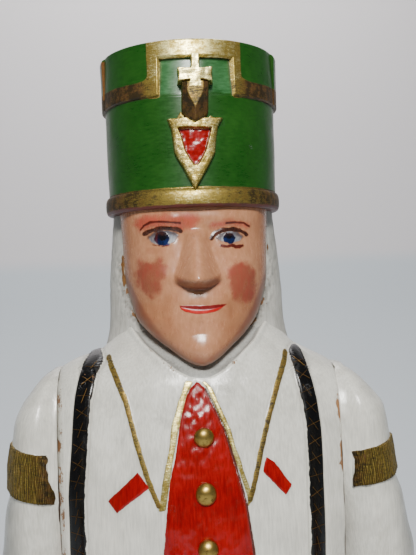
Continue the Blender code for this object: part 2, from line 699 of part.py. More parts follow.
def base(finish):
    bm = bmesh.new()
    bmesh.ops.create_cube(bm, size=1)
    for vertex in bm.verts:
        vertex.co = Vector((vertex.co.x * BASE_LENGTH, vertex.co.y * BASE_DEPTH, (vertex.co.z + 0.5) * BASE_HEIGHT))
    upper = [e for e in bm.edges if all(v.co.z > BASE_HEIGHT / 2 for v in e.verts)]
    upright = [e for e in bm.edges if abs(e.verts[0].co.z - e.verts[1].co.z) > BASE_HEIGHT / 2]
    bmesh.ops.bevel(bm, geom=upper + upright, offset=BASE_CHAMFER, segments=2, profile=0.5, affect="EDGES")
    block = add_object("base", bm, finish)
    radius = BUSHING_BODY_RADIUS + GAP
    depth = BUSHING_BODY_LENGTH + 4 * MM
    hole = [(0, -5 * MM), (radius, -5 * MM), (radius, depth), (0, depth)]
    combine(block, "DIFFERENCE", facing_in(add_object("bushing_hole", turned(hole, Vector()))))


def facing_in(piece):
    """Lays a solid turned about Z into the back of the base, pointing inwards."""
    piece.rotation_euler = (math.radians(90), 0, 0)
    piece.location = (0, BASE_DEPTH / 2, BASE_HEIGHT / 2)
    return piece


def cable_bushing(finish):
    """The outlet for the lamp's cord: a flange on the back of the base and a sleeve inside it."""
    face = -BUSHING_FLANGE_THICKNESS - GAP
    flange = [(BUSHING_BORE_RADIUS, face), (BUSHING_FLANGE_RADIUS * 0.8, face)]
    flange += [(BUSHING_FLANGE_RADIUS, z) for z in (-0.4 * BUSHING_FLANGE_THICKNESS - GAP, -GAP)]
    flange += [(BUSHING_BODY_RADIUS, z) for z in (-GAP, BUSHING_BODY_LENGTH)]
    flange += [(BUSHING_BORE_RADIUS, BUSHING_BODY_LENGTH)]
    bm = bmesh.new()
    columns = TURNED_COLUMNS
    angles = [math.tau * k / columns for k in range(columns)]
    rows = [[bm.verts.new((r * math.cos(a), r * math.sin(a), z)) for a in angles] for r, z in flange]
    for i, lower in enumerate(rows):
        upper = rows[(i + 1) % len(rows)]
        for k in range(columns):
            bm.faces.new((lower[k], lower[(k + 1) % columns], upper[(k + 1) % columns], upper[k]))
    facing_in(add_object("cable_bushing", bm, finish))


def candle_light(side, word, finishes):
    """One light: the turned holder through the fist, the candle in its cup, and the bulb in the candle."""
    fist_top = (FIST_HALF_HEIGHT + 2.5) * UNIT
    fist_bottom = -(FIST_HALF_HEIGHT + 1.0) * UNIT
    neck, pan = fist_top + 4 * MM, fist_top + 11 * MM
    rim, cup_top = pan + 5 * MM, pan + HOLDER_CUP_HEIGHT
    seat = cup_top - CANDLE_SEAT_DEPTH
    bore = CANDLE_RADIUS + GAP
    foot = fist_bottom - 12 * MM
    holder = [(0, foot), (HOLDER_FOOT_RADIUS * 0.6, foot), (HOLDER_FOOT_RADIUS, foot + 5 * MM)]
    holder += [(HOLDER_FOOT_RADIUS * 0.8, foot + 9.5 * MM), (HOLDER_SPINDLE_RADIUS, fist_bottom)]
    holder += [(HOLDER_SPINDLE_RADIUS, neck), (HOLDER_CUP_RADIUS, pan - 3 * MM)]
    holder += [(HOLDER_PAN_RADIUS, rim - 3 * MM), (HOLDER_PAN_RADIUS, rim), (HOLDER_PAN_RADIUS - 2 * MM, rim)]
    holder += [(HOLDER_CUP_RADIUS + 1.5 * MM, pan + 1 * MM), (HOLDER_CUP_RADIUS, pan + 3 * MM)]
    holder += [(HOLDER_CUP_RADIUS, cup_top), (bore, cup_top), (bore, seat), (0, seat)]
    add_object(f"candle_holder_{word}", turned(holder, grip(side)), finishes["holder"])
    foot_z = seat + GAP
    top = foot_z + CANDLE_LENGTH
    socket, floor = BULB_CAP_RADIUS + GAP, top - BULB_CAP_SEAT_DEPTH
    candle = [(0, foot_z), (CANDLE_RADIUS, foot_z), (CANDLE_RADIUS, top - 1 * MM)]
    candle += [(CANDLE_RADIUS - 1 * MM, top), (socket, top), (socket, floor), (0, floor)]
    add_object(f"candle_{word}", turned(candle, grip(side)), finishes["candle"])
    cap_foot = floor + GAP
    cap_top = cap_foot + BULB_CAP_LENGTH
    cap = [(0, cap_foot), (BULB_CAP_RADIUS * 0.5, cap_foot), (BULB_CAP_RADIUS, cap_foot + 2 * MM)]
    cap += [(BULB_CAP_RADIUS, cap_top), (0, cap_top)]
    add_object(f"bulb_cap_{word}", turned(cap, grip(side)), finishes["brass"])
    foot = cap_top + GAP
    glass = [(0, foot), *((BULB_RADIUS * wide, foot + BULB_LENGTH * share) for share, wide in BULB_SHAPE)]
    glass += [(0, foot + BULB_LENGTH)]
    add_object(f"bulb_{word}", turned(glass, grip(side), BULB_COLUMNS), finishes["glass"])


def main():
    start_clean()
    paint = material("painted_wood", (0.58, 0.57, 0.53), 0.35)
    gilt = material("gilt_wood", (0.45, 0.33, 0.12), 0.42, 0.7)
    green = material("green_painted_wood", (0.03, 0.12, 0.03), 0.35)
    brass = material("brass", (0.45, 0.31, 0.11), 0.3, 1.0)
    finishes = {
        "holder": material("turned_wood", (0.36, 0.03, 0.02), 0.35),
        "candle": material("candle_sleeve", (0.78, 0.73, 0.6), 0.45),
        "brass": brass,
        "glass": material("bulb_glass", (0.95, 0.95, 0.93), 0.02, 0.0, 0.35),
    }
    base(green)
    cable_bushing(material("black_plastic", (0.02, 0.02, 0.02), 0.45))
    figure(paint)
    hat_badge(gilt)
    for number in range(1, BUTTON_COUNT + 1):
        button(number, brass)
    for side, word in ((1, "left"), (-1, "right")):
        arm(side, word, paint)
        candle_light(side, word, finishes)


main()
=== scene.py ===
import json
import math

import bmesh
import bpy
import numpy as np
from mathutils import Matrix, Vector
from mathutils.bvhtree import BVHTree

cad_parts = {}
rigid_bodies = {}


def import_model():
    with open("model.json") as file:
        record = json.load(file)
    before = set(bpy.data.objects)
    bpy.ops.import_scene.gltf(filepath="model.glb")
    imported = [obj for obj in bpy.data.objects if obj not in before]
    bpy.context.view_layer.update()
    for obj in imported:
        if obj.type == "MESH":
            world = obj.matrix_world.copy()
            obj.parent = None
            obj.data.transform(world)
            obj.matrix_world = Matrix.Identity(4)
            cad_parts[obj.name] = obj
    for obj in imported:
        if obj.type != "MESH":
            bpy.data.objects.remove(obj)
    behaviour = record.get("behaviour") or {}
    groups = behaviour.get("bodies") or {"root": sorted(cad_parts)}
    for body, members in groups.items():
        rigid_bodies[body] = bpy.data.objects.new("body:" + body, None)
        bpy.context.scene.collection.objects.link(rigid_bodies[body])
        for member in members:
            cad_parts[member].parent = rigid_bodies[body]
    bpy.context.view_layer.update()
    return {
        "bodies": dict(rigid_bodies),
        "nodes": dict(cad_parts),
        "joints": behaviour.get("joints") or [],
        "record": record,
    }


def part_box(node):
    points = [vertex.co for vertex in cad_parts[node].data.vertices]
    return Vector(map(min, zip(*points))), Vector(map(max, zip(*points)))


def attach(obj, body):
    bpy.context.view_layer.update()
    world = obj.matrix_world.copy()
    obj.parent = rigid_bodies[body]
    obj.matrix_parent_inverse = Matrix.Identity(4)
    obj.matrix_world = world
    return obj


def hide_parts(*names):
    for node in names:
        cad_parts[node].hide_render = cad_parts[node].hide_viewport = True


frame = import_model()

figureLow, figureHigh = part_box("figure")
unit = (figureHigh[2] - figureLow[2]) / 750  # one carving unit, a millimetre on the figure
soleHeight = figureLow[2]
scene = bpy.context.scene


# Camera, lights and studio

def makeCamera():
    view = {"focal": 50.6, "distance": 0.453, "height": 0.656, "azimuth": -2.5, "sideways": 0.0073, "roll": -2.06}
    turn = math.radians(view["azimuth"])
    right = Vector((math.cos(turn), math.sin(turn), 0))
    forward = Vector((-math.sin(turn), math.cos(turn), 0))
    spot = Vector((0, 0, view["height"])) - forward * view["distance"] + right * view["sideways"]
    facing = Matrix((right, Vector((0, 0, 1)), -forward)).transposed()
    lean = Matrix.Rotation(math.radians(view["roll"]), 3, "Z")
    camera = bpy.data.objects.new("camera", bpy.data.cameras.new("camera"))
    camera.data.lens = view["focal"]
    camera.data.sensor_width = 36
    camera.matrix_world = Matrix.Translation(spot) @ (facing @ lean).to_4x4()
    scene.collection.objects.link(camera)
    scene.camera = camera


def areaLight(name, spot, target, size, power, tone):
    light = bpy.data.lights.new(name, "AREA")
    light.size = size
    light.energy = power
    light.color = tone
    holder = bpy.data.objects.new(name, light)
    holder.location = spot
    holder.rotation_mode = "QUATERNION"
    holder.rotation_quaternion = (Vector(target) - Vector(spot)).to_track_quat("-Z", "Y")
    scene.collection.objects.link(holder)


def makeStudio():
    studio = {
        "wallAway": 2.3, "floorNear": -5.0, "halfWidth": 5.0, "wallHeight": 5.0, "bend": 0.6,
        "clothTop": 0.715, "cloth": tint(214, 221, 226), "wall": tint(232, 228, 229),
        "sky": (0.9, 0.92, 0.96, 1), "skyLight": 0.17, "skySeen": 0.6,
    }
    lights = {
        "keyLight": {
            "spot": (-0.02, -1.2, 1.34), "target": (0, 0, 0.62), "size": 0.26, "power": 29, "tone": (1.0, 0.98, 0.95),
        },
        "topLight": {
            "spot": (0.15, -0.35, 2.1), "target": (0, 0, 0.6), "size": 1.3, "power": 5, "tone": (1.0, 1.0, 1.0),
        },
        "wallLight": {
            "spot": (0, 1.15, 2.6), "target": (0, 2.3, 0.8), "size": 1.2, "power": 46, "tone": (1.0, 0.98, 0.98),
        },
    }
    for name, light in lights.items():
        areaLight(name, **light)
    world = bpy.data.worlds.new("studio")
    world.use_nodes = True
    tree = world.node_tree
    background = tree.nodes["Background"]
    background.inputs["Color"].default_value = studio["sky"]
    # the sky looks brighter to the camera than the light it gives
    seen = add(tree, "ShaderNodeLightPath").outputs["Is Camera Ray"]
    tree.links.new(mixValue(tree, seen, studio["skyLight"], studio["skySeen"]), background.inputs["Strength"])
    scene.world = world
    away, bend = studio["wallAway"], studio["bend"]
    line = [(studio["floorNear"], 0.0)]
    line += [(away - bend + bend * math.sin(a), bend - bend * math.cos(a)) for a in np.linspace(0, math.pi / 2, 14)]
    line += [(away, z) for z in np.linspace(bend + 0.1, studio["wallHeight"], 10)]
    side = studio["halfWidth"]
    points = [(x, y, z) for y, z in line for x in (-side, side)]
    faces = [(2 * k, 2 * k + 1, 2 * k + 3, 2 * k + 2) for k in range(len(line) - 1)]
    mesh = bpy.data.meshes.new("studioSweep")
    mesh.from_pydata(points, [], faces)
    mesh.shade_smooth()
    sweep = pieceOf("studioSweep", mesh)
    paper, tree, shader = newMaterial("studioPaper")
    spot = add(tree, "ShaderNodeTexCoord").outputs["Object"]
    height = add(tree, "ShaderNodeSeparateXYZ", {0: spot}).outputs["Z"]
    ripple = add(tree, "ShaderNodeTexNoise", {"Vector": spot, "Scale": 0.7, "Detail": 2.0}).outputs["Fac"]
    height = calc(tree, "ADD", height, calc(tree, "MULTIPLY", ripple, 0.1))
    share = smoothStep(tree, height, studio["clothTop"] + 0.02, studio["clothTop"] + 0.09)
    tree.links.new(mixColour(tree, share, studio["cloth"], studio["wall"]), shader.inputs["Base Color"])
    shader.inputs["Roughness"].default_value = 0.9
    mesh.materials.append(paper)


# Node helpers

def tint(red, green, blue):  # a colour as seen, 0 to 255
    return tuple((c / 255) ** 2.2 for c in (red, green, blue)) + (1.0,)


def add(tree, kind, inputs=None, **settings):
    node = tree.nodes.new(kind)
    for key, value in settings.items():
        setattr(node, key, value)
    for key, value in (inputs or {}).items():
        if isinstance(value, bpy.types.NodeSocket):
            tree.links.new(value, node.inputs[key])
        else:
            node.inputs[key].default_value = value
    return node


def calc(tree, operation, *values):
    return add(tree, "ShaderNodeMath", dict(enumerate(values)), operation=operation).outputs[0]


def smoothStep(tree, value, low, high, start=0.0, end=1.0):
    inputs = {0: value, 1: low, 2: high, 3: start, 4: end}
    return add(tree, "ShaderNodeMapRange", inputs, interpolation_type="SMOOTHSTEP").outputs[0]


def mixColour(tree, share, first, second, way="MIX"):
    return add(tree, "ShaderNodeMix", {0: share, 6: first, 7: second}, data_type="RGBA", blend_type=way).outputs[2]


def mixValue(tree, share, first, second):
    return add(tree, "ShaderNodeMix", {0: share, 2: first, 3: second}, data_type="FLOAT").outputs[0]


def stretched(tree, position, stretch):
    return add(tree, "ShaderNodeVectorMath", {0: position, 1: stretch}, operation="MULTIPLY").outputs[0]


def noise(tree, position, scale, detail=3.0, roughness=0.55):
    inputs = {"Vector": position, "Scale": scale, "Detail": detail, "Roughness": roughness}
    return add(tree, "ShaderNodeTexNoise", inputs).outputs["Fac"]


def objectSpot(tree):  # the place on the piece, in millimetres
    return stretched(tree, add(tree, "ShaderNodeTexCoord").outputs["Object"], (1000.0, 1000.0, 1000.0))


def markOf(tree, name):
    return add(tree, "ShaderNodeAttribute", attribute_name=name).outputs["Fac"]


def newMaterial(name):
    material = bpy.data.materials.new(name)
    material.use_nodes = True
    return material, material.node_tree, material.node_tree.nodes["Principled BSDF"]


def dress(tree, shader, colour, roughness, height):  # the height is in millimetres
    relief = add(tree, "ShaderNodeBump", {"Height": height, "Distance": 0.001, "Strength": 1.0}).outputs["Normal"]
    for socket, value in (("Base Color", colour), ("Roughness", roughness), ("Normal", relief)):
        tree.links.new(value, shader.inputs[socket])


def newGroup(name, inputs, outputs):
    tree = bpy.data.node_groups.new(name, "ShaderNodeTree")
    for label, value in inputs.items():
        kind = "NodeSocketVector" if isinstance(value, tuple) else "NodeSocketFloat"
        tree.interface.new_socket(label, in_out="INPUT", socket_type=kind).default_value = value
    for label in outputs:
        kind = "NodeSocketColor" if label == "Colour" else "NodeSocketFloat"
        tree.interface.new_socket(label, in_out="OUTPUT", socket_type=kind)
    return tree, tree.nodes.new("NodeGroupInput").outputs, tree.nodes.new("NodeGroupOutput").inputs


def fill(tree, sink, **results):
    for label, value in results.items():
        tree.links.new(value, sink[label])


def useGroup(tree, group, **inputs):
    node = tree.nodes.new("ShaderNodeGroup")
    node.node_tree = groups[group]
    for label, value in inputs.items():
        if isinstance(value, bpy.types.NodeSocket):
            tree.links.new(value, node.inputs[label])
        else:
            node.inputs[label].default_value = value
    return node.outputs


# Shared effects. Positions are in millimetres.

def groupPaintEdge():  # a hand-drawn border round a marked area
    tree, source, sink = newGroup(
        "paintEdge",
        {"Position": (0.0, 0.0, 0.0), "Distance": 0.0, "Wobble": 0.4, "Softness": 0.15},
        ["Mask"]
    )
    slow = calc(tree, "SUBTRACT", noise(tree, source["Position"], 0.22, 2.0), 0.5)
    quick = calc(tree, "SUBTRACT", noise(tree, source["Position"], 1.3, 3.0), 0.5)
    shift = calc(tree, "MULTIPLY_ADD", quick, 0.6, calc(tree, "MULTIPLY", slow, 2.2))
    moved = calc(tree, "MULTIPLY_ADD", shift, source["Wobble"], source["Distance"])
    low = calc(tree, "MULTIPLY", source["Softness"], -1.0)
    fill(tree, sink, Mask=smoothStep(tree, moved, low, source["Softness"]))
    return tree


def groupBrushwork():  # streaks left by the bristles and broad changes of tone
    tree, source, sink = newGroup(
        "brushwork", {"Position": (0.0, 0.0, 0.0), "Stretch": (1.4, 1.4, 0.12)}, ["Tone", "Height"]
    )
    streaks = noise(tree, stretched(tree, source["Position"], source["Stretch"]), 1.0, 4.0, 0.6)
    broad = noise(tree, source["Position"], 0.055, 3.0)
    fine = noise(tree, source["Position"], 2.6, 3.0, 0.7)
    tone = calc(tree, "MULTIPLY_ADD", streaks, 0.55, calc(tree, "MULTIPLY", broad, 0.45))
    height = calc(tree, "MULTIPLY_ADD", streaks, 0.8, calc(tree, "MULTIPLY", fine, 0.2))
    fill(tree, sink, Tone=tone, Height=height)
    return tree


def groupBronzePaint():  # bronze powder bound in varnish, brushed on over dark umber
    tree, source, sink = newGroup(
        "bronzePaint", {"Position": (0.0, 0.0, 0.0), "Tarnish": 0.3}, ["Colour", "Roughness", "Metallic", "Height"]
    )
    flakes = add(
        tree, "ShaderNodeTexVoronoi",
        {"Vector": source["Position"], "Scale": 1.9, "Randomness": 1.0},
        feature="F1"
    )
    spread = add(tree, "ShaderNodeSeparateColor", {0: flakes.outputs["Color"]}).outputs[0]
    cloud = noise(tree, source["Position"], 0.24, 4.0, 0.65)
    strokes = noise(tree, stretched(tree, source["Position"], (0.35, 0.35, 1.5)), 1.0, 4.0, 0.65)
    brushed = calc(tree, "MULTIPLY_ADD", cloud, 0.8, calc(tree, "MULTIPLY", strokes, 0.75))
    level = calc(tree, "MULTIPLY_ADD", spread, 0.16, brushed)
    # this input darkens the gilt: for tarnish, and for painted shade where a mark carries it
    level = calc(tree, "SUBTRACT", level, calc(tree, "MULTIPLY_ADD", source["Tarnish"], 0.55, 0.3))
    base = mixColour(tree, smoothStep(tree, level, 0.0, 0.42), tint(52, 42, 22), tint(152, 132, 64))
    bright = mixColour(tree, smoothStep(tree, level, 0.4, 0.75), base, tint(244, 232, 160))
    rust = calc(tree, "MULTIPLY", source["Tarnish"], smoothStep(tree, cloud, 0.44, 0.6))
    colour = mixColour(tree, calc(tree, "MULTIPLY", rust, 0.6), bright, tint(106, 74, 44))
    rough = smoothStep(tree, level, 0.0, 0.9, 0.5, 0.3)
    metal = smoothStep(tree, level, -0.1, 0.45, 0.3, 0.85)
    height = calc(tree, "MULTIPLY_ADD", spread, 0.25, calc(tree, "MULTIPLY", strokes, 0.75))
    fill(tree, sink, Colour=colour, Roughness=rough, Metallic=metal, Height=height)
    return tree


def groupAgeing():  # paint rubbed off what stands proud, and dirt in what lies deep
    inputs = {"Position": (0.0, 0.0, 0.0), "Edge": 0.0, "Hollow": 0.0, "Wear": 0.3}
    tree, source, sink = newGroup("ageing", inputs, ["Bare", "Dirt"])
    patch = noise(tree, source["Position"], 0.16, 4.0, 0.65)
    grain = noise(tree, source["Position"], 1.1, 4.0, 0.7)
    uneven = calc(tree, "MULTIPLY_ADD", patch, 1.1, calc(tree, "MULTIPLY", grain, 0.7))
    rub = calc(tree, "MULTIPLY", source["Edge"], uneven)
    limit = calc(tree, "SUBTRACT", 1.15, source["Wear"])
    bare = smoothStep(tree, rub, limit, calc(tree, "ADD", limit, 0.07))
    specks = smoothStep(tree, noise(tree, source["Position"], 0.9, 5.0, 0.75), 0.66, 0.74)
    deep = calc(tree, "MULTIPLY", source["Hollow"], calc(tree, "MULTIPLY_ADD", grain, 0.8, 0.35))
    dirt = calc(tree, "MAXIMUM", deep, calc(tree, "MULTIPLY", specks, 0.28))
    fill(tree, sink, Bare=bare, Dirt=dirt)
    return tree


def groupCrackle():  # short fine cracks, only here and there
    tree, source, sink = newGroup("crackle", {"Position": (0.0, 0.0, 0.0), "Amount": 0.4}, ["Mask"])
    shift = noise(tree, source["Position"], 0.5, 2.0)
    shifts = add(tree, "ShaderNodeCombineXYZ", {0: shift, 1: shift, 2: shift}).outputs[0]
    moved = add(tree, "ShaderNodeVectorMath", {0: source["Position"], 1: shifts, 2: shifts}, operation="MULTIPLY_ADD")
    cells = add(
        tree, "ShaderNodeTexVoronoi", {"Vector": moved.outputs[0], "Scale": 0.11}, feature="DISTANCE_TO_EDGE"
    ).outputs["Distance"]
    line = smoothStep(tree, cells, 0.022, 0.004)
    least = calc(tree, "SUBTRACT", 0.72, calc(tree, "MULTIPLY", source["Amount"], 0.3))
    where = smoothStep(tree, noise(tree, source["Position"], 0.07, 2.0), least, 0.78)
    fill(tree, sink, Mask=calc(tree, "MULTIPLY", line, where))
    return tree


groups = {
    "paintEdge": groupPaintEdge(),
    "brushwork": groupBrushwork(),
    "bronzePaint": groupBronzePaint(),
    "ageing": groupAgeing(),
    "crackle": groupCrackle(),
}

# Each paint: its light and its dark tone, its roughness, and how thick it lies in millimetres
paints = {
    "white": ((224, 223, 213), (188, 187, 177), 0.2, 0.05),
    "shadedHoodWhite": ((186, 185, 178), (150, 148, 140), 0.46, 0.05),
    "green": ((33, 79, 23), (20, 63, 14), 0.3, 0.05),
    "red": ((156, 5, 2), (108, 2, 1), 0.2, 0.12),
    "black": ((4, 4, 5), (9, 8, 8), 0.24, 0.12),
    "skin": ((192, 141, 106), (166, 117, 84), 0.22, 0.05),
    # shadedSkin is painted shade on the face
    "shadedSkin": ((172, 120, 84), (148, 98, 66), 0.26, 0.02),
    "rouge": ((132, 48, 38), (100, 31, 24), 0.3, 0.02),
    "wash": ((172, 66, 52), (150, 46, 36), 0.28, 0.02),
    "shadedLipRed": ((128, 8, 3), (92, 5, 3), 0.34, 0.08),
    "litLipRed": ((196, 28, 8), (166, 14, 5), 0.3, 0.1),
    "eyeShade": ((124, 112, 110), (84, 74, 76), 0.3, 0.04),
    "eyeWhite": ((180, 184, 186), (104, 108, 118), 0.24, 0.06),
    "blue": ((30, 46, 92), (12, 20, 44), 0.2, 0.05),
    "pupil": ((10, 10, 16), (20, 20, 28), 0.16, 0.05),
    "lash": ((86, 46, 32), (40, 24, 20), 0.26, 0.06),
    "brow": ((98, 34, 20), (66, 22, 14), 0.32, 0.05),
    # painted sheen: a paler green for the hat's window panel
    "sheenGreen": ((70, 116, 76), (44, 90, 50), 0.3, 0.03),
    "shadedWhite": ((172, 173, 168), (138, 139, 134), 0.34, 0.05),
    "umber": ((96, 40, 30), (62, 26, 20), 0.42, 0.0),
    "ochre": ((124, 88, 46), (92, 60, 30), 0.42, 0.0),
    "dullGold": ((116, 94, 46), (82, 62, 28), 0.4, 0.1),
    "crack": ((70, 46, 30), (44, 30, 20), 0.6, -0.2),
    "rawWood": ((158, 118, 78), (104, 68, 42), 0.62, -0.15),
    "bronze": (None, None, None, 0.08),  # the rest comes from bronzePaint
}


def paintedWood(name, base, coats, stretch, wear, grime, cracks, relief=0.05, bareTone="rawWood", strands=None):
    # coats: (attribute with the distance inside the painted area, paint, wobble, softness, strength)
    material, tree, shader = newMaterial(name)
    position = objectSpot(tree)
    brush = useGroup(tree, "brushwork", Position=position, Stretch=stretch)
    needsBronze = "bronze" in (base, *(coat[1] for coat in coats))
    if needsBronze:
        tarnish = markOf(tree, "tarnish")
        if strands:
            drift = noise(tree, stretched(tree, position, (1, 1, 0.3)), 0.35, 2.0)
            sway = calc(tree, "MULTIPLY_ADD", drift, 2.4, markOf(tree, "strand"))
            ridge = calc(tree, "ABSOLUTE", calc(tree, "SINE", calc(tree, "MULTIPLY", sway, math.pi)))
            tarnish = calc(tree, "MULTIPLY_ADD", smoothStep(tree, ridge, 0.55, 0.1), 0.85, tarnish)
        bronze = useGroup(tree, "bronzePaint", Position=position, Tarnish=tarnish)

    def paintOf(kind):
        if kind == "bronze":
            return bronze["Colour"], bronze["Roughness"], bronze["Metallic"]
        light, dark, roughness, _ = paints[kind]
        tone = smoothStep(tree, brush["Tone"], 0.3, 0.72)
        rough = smoothStep(tree, brush["Tone"], 0.25, 0.75, roughness * 0.85, roughness * 1.25)
        return mixColour(tree, tone, tint(*dark), tint(*light)), rough, 0.0

    colour, rough, metal = paintOf(base)
    height = calc(tree, "MULTIPLY", brush["Height"], relief)
    for mark, kind, wobble, softness, strength in coats:
        edges = {"Distance": markOf(tree, mark), "Wobble": wobble, "Softness": softness}
        mask = useGroup(tree, "paintEdge", Position=position, **edges)["Mask"]
        if strength < 1:  # a thin coat takes on the streaks of the brush
            thin = calc(tree, "MULTIPLY", smoothStep(tree, brush["Tone"], 0.25, 0.65, 0.55, 1.0), strength)
            mask = calc(tree, "MULTIPLY", mask, thin)
        newColour, newRough, newMetal = paintOf(kind)
        colour = mixColour(tree, mask, colour, newColour)
        rough = mixValue(tree, mask, rough, newRough)
        metal = mixValue(tree, mask, metal, newMetal)
        height = calc(tree, "MULTIPLY_ADD", mask, paints[kind][3], height)
    if needsBronze:
        height = calc(tree, "MULTIPLY_ADD", calc(tree, "MULTIPLY", bronze["Height"], metal), 0.12, height)
    if strands:
        inStrands = smoothStep(tree, markOf(tree, strands), 0.0, 0.4)
        height = calc(tree, "MULTIPLY_ADD", calc(tree, "MULTIPLY", ridge, inStrands), 0.6, height)
    worn = {"Edge": markOf(tree, "edge"), "Hollow": markOf(tree, "hollow"), "Wear": wear}
    aged = useGroup(tree, "ageing", Position=position, **worn)
    crack = useGroup(tree, "crackle", Position=position, Amount=cracks)["Mask"]
    bareColour, bareRough, _ = paintOf(bareTone)
    dirt = calc(tree, "MULTIPLY", calc(tree, "MAXIMUM", aged["Dirt"], calc(tree, "MULTIPLY", crack, 0.8)), grime)
    colour = mixColour(tree, aged["Bare"], colour, bareColour)
    colour = mixColour(tree, dirt, colour, tint(62, 46, 32))
    rough = mixValue(tree, aged["Bare"], rough, bareRough)
    rough = mixValue(tree, calc(tree, "MULTIPLY", dirt, 0.6), rough, 0.6)
    height = calc(tree, "MULTIPLY_ADD", aged["Bare"], -0.14, height)
    height = calc(tree, "MULTIPLY_ADD", crack, -0.12, height)
    dress(tree, shader, colour, rough, height)
    if coats:  # bare wood isn't metallic
        metal = calc(tree, "MULTIPLY", metal, calc(tree, "SUBTRACT", 1.0, aged["Bare"]))
        tree.links.new(metal, shader.inputs["Metallic"])
    return material


def whitePaint(name, coats, wear, cracks, strands=None):
    return paintedWood(name, "white", coats, (1.1, 1.1, 0.09), wear, 0.5, cracks, 0.11, strands=strands)


# Shape helpers. Shapes are in carving units until they become a mesh.

def toWorld(points):
    placed = np.array(points, float) * unit
    placed[..., 2] += soleHeight
    return placed


def curveThrough(rows, at):  # smooth columns through a short table, without overshoot
    rows = np.array(rows, float)
    if rows[0, 0] > rows[-1, 0]:
        rows = rows[::-1]
    x, y = rows[:, 0], rows[:, 1:]
    step = np.diff(x)[:, None]
    slope = np.diff(y, axis=0) / step
    lean = np.zeros_like(y)
    lean[0], lean[-1] = slope[0], slope[-1]
    both = slope[:-1] * slope[1:]
    total = slope[:-1] + slope[1:]
    lean[1:-1] = np.where(both > 0, 2 * both / np.where(total == 0, 1, total), 0)
    at = np.clip(np.asarray(at, float), x[0], x[-1])
    i = np.clip(np.searchsorted(x, at) - 1, 0, len(x) - 2)
    t = ((at - x[i]) / step[i, 0])[..., None]
    found = y[i] * (2 * t**3 - 3 * t**2 + 1) + lean[i] * step[i] * (t**3 - 2 * t**2 + t)
    found += y[i + 1] * (3 * t**2 - 2 * t**3) + lean[i + 1] * step[i] * (t**3 - t**2)
    return [found[..., k] for k in range(found.shape[-1])]


def unevenness(points, size, seed):  # smooth random field from -1 to 1, with bumps of one size
    spot = np.asarray(points, float) / size + seed * 17.31
    cell = np.floor(spot).astype(np.int64)
    part = spot - cell
    part = part * part * (3 - 2 * part)
    total = np.zeros(spot.shape[:-1])
    for corner in range(8):
        offset = np.array([corner & 1, corner >> 1 & 1, corner >> 2 & 1])
        c = cell + offset
        mixed = (c[..., 0] * 73856093) ^ (c[..., 1] * 19349663) ^ (c[..., 2] * 83492791) ^ (seed * 2654435)
        mixed = (mixed ^ (mixed >> 13)) * 1274126177
        value = ((mixed ^ (mixed >> 16)) & 0xFFFF) / 32767.5 - 1
        share = np.where(offset, part, 1 - part).prod(axis=-1)
        total += value * share
    return total


def rise(value, low, high):
    t = np.clip((value - low) / (high - low), 0, 1)
    return t * t * (3 - 2 * t)


def squared(value, power):
    return np.sign(value) * np.abs(value) ** (2 / power)


def bump(x, z, atX, atZ, wide, tall):
    return np.exp(-(((x - atX) / wide) ** 2) - ((z - atZ) / tall) ** 2)


def lineDistance(x, z, line):
    best = np.full(np.shape(x), 1e9)
    for (x0, z0), (x1, z1) in zip(line, line[1:]):
        alongX, alongZ = x1 - x0, z1 - z0
        t = np.clip(((x - x0) * alongX + (z - z0) * alongZ) / (alongX**2 + alongZ**2), 0, 1)
        best = np.minimum(best, np.hypot(x - x0 - t * alongX, z - z0 - t * alongZ))
    return best


def insideOf(x, z, outline):  # distance inside a closed outline, negative outside it
    closed = list(outline) + [outline[0]]
    inside = np.zeros(np.shape(x), bool)
    for (x0, z0), (x1, z1) in zip(closed, closed[1:]):
        crosses = ((z0 > z) != (z1 > z)) & (x < (x1 - x0) * (z - z0) / (z1 - z0 if z1 != z0 else 1e-9) + x0)
        inside ^= crosses
    return np.where(inside, 1, -1) * lineDistance(x, z, closed)


def faceNormals(rings):
    across = np.roll(rings, -1, axis=1) - np.roll(rings, 1, axis=1)
    along = np.gradient(rings, axis=0)
    normal = np.cross(across, along)
    return normal / np.maximum(np.linalg.norm(normal, axis=-1, keepdims=True), 1e-9)


def edgeAndHollow(rings, reach, strength):  # what stands proud and what lies deep, from 0 to 1
    padded = np.concatenate([np.repeat(rings[:1], reach, 0), rings, np.repeat(rings[-1:], reach, 0)])
    mean = (np.roll(rings, reach, 1) + np.roll(rings, -reach, 1) + padded[: -2 * reach] + padded[2 * reach:]) / 4
    stand = ((rings - mean) * faceNormals(rings)).sum(-1)
    return {"edge": np.clip(stand * strength, 0, 1), "hollow": np.clip(-stand * strength, 0, 1)}


def pieceOf(name, mesh):
    piece = bpy.data.objects.new(name, mesh)
    scene.collection.objects.link(piece)
    return piece


def meshOf(name, bm):
    mesh = bpy.data.meshes.new(name)
    bm.to_mesh(mesh)
    bm.free()
    return mesh


def setMark(mesh, label, values):
    layer = mesh.attributes.new(label, "FLOAT", "POINT")
    layer.data.foreach_set("value", values.reshape(-1).astype(np.float32))


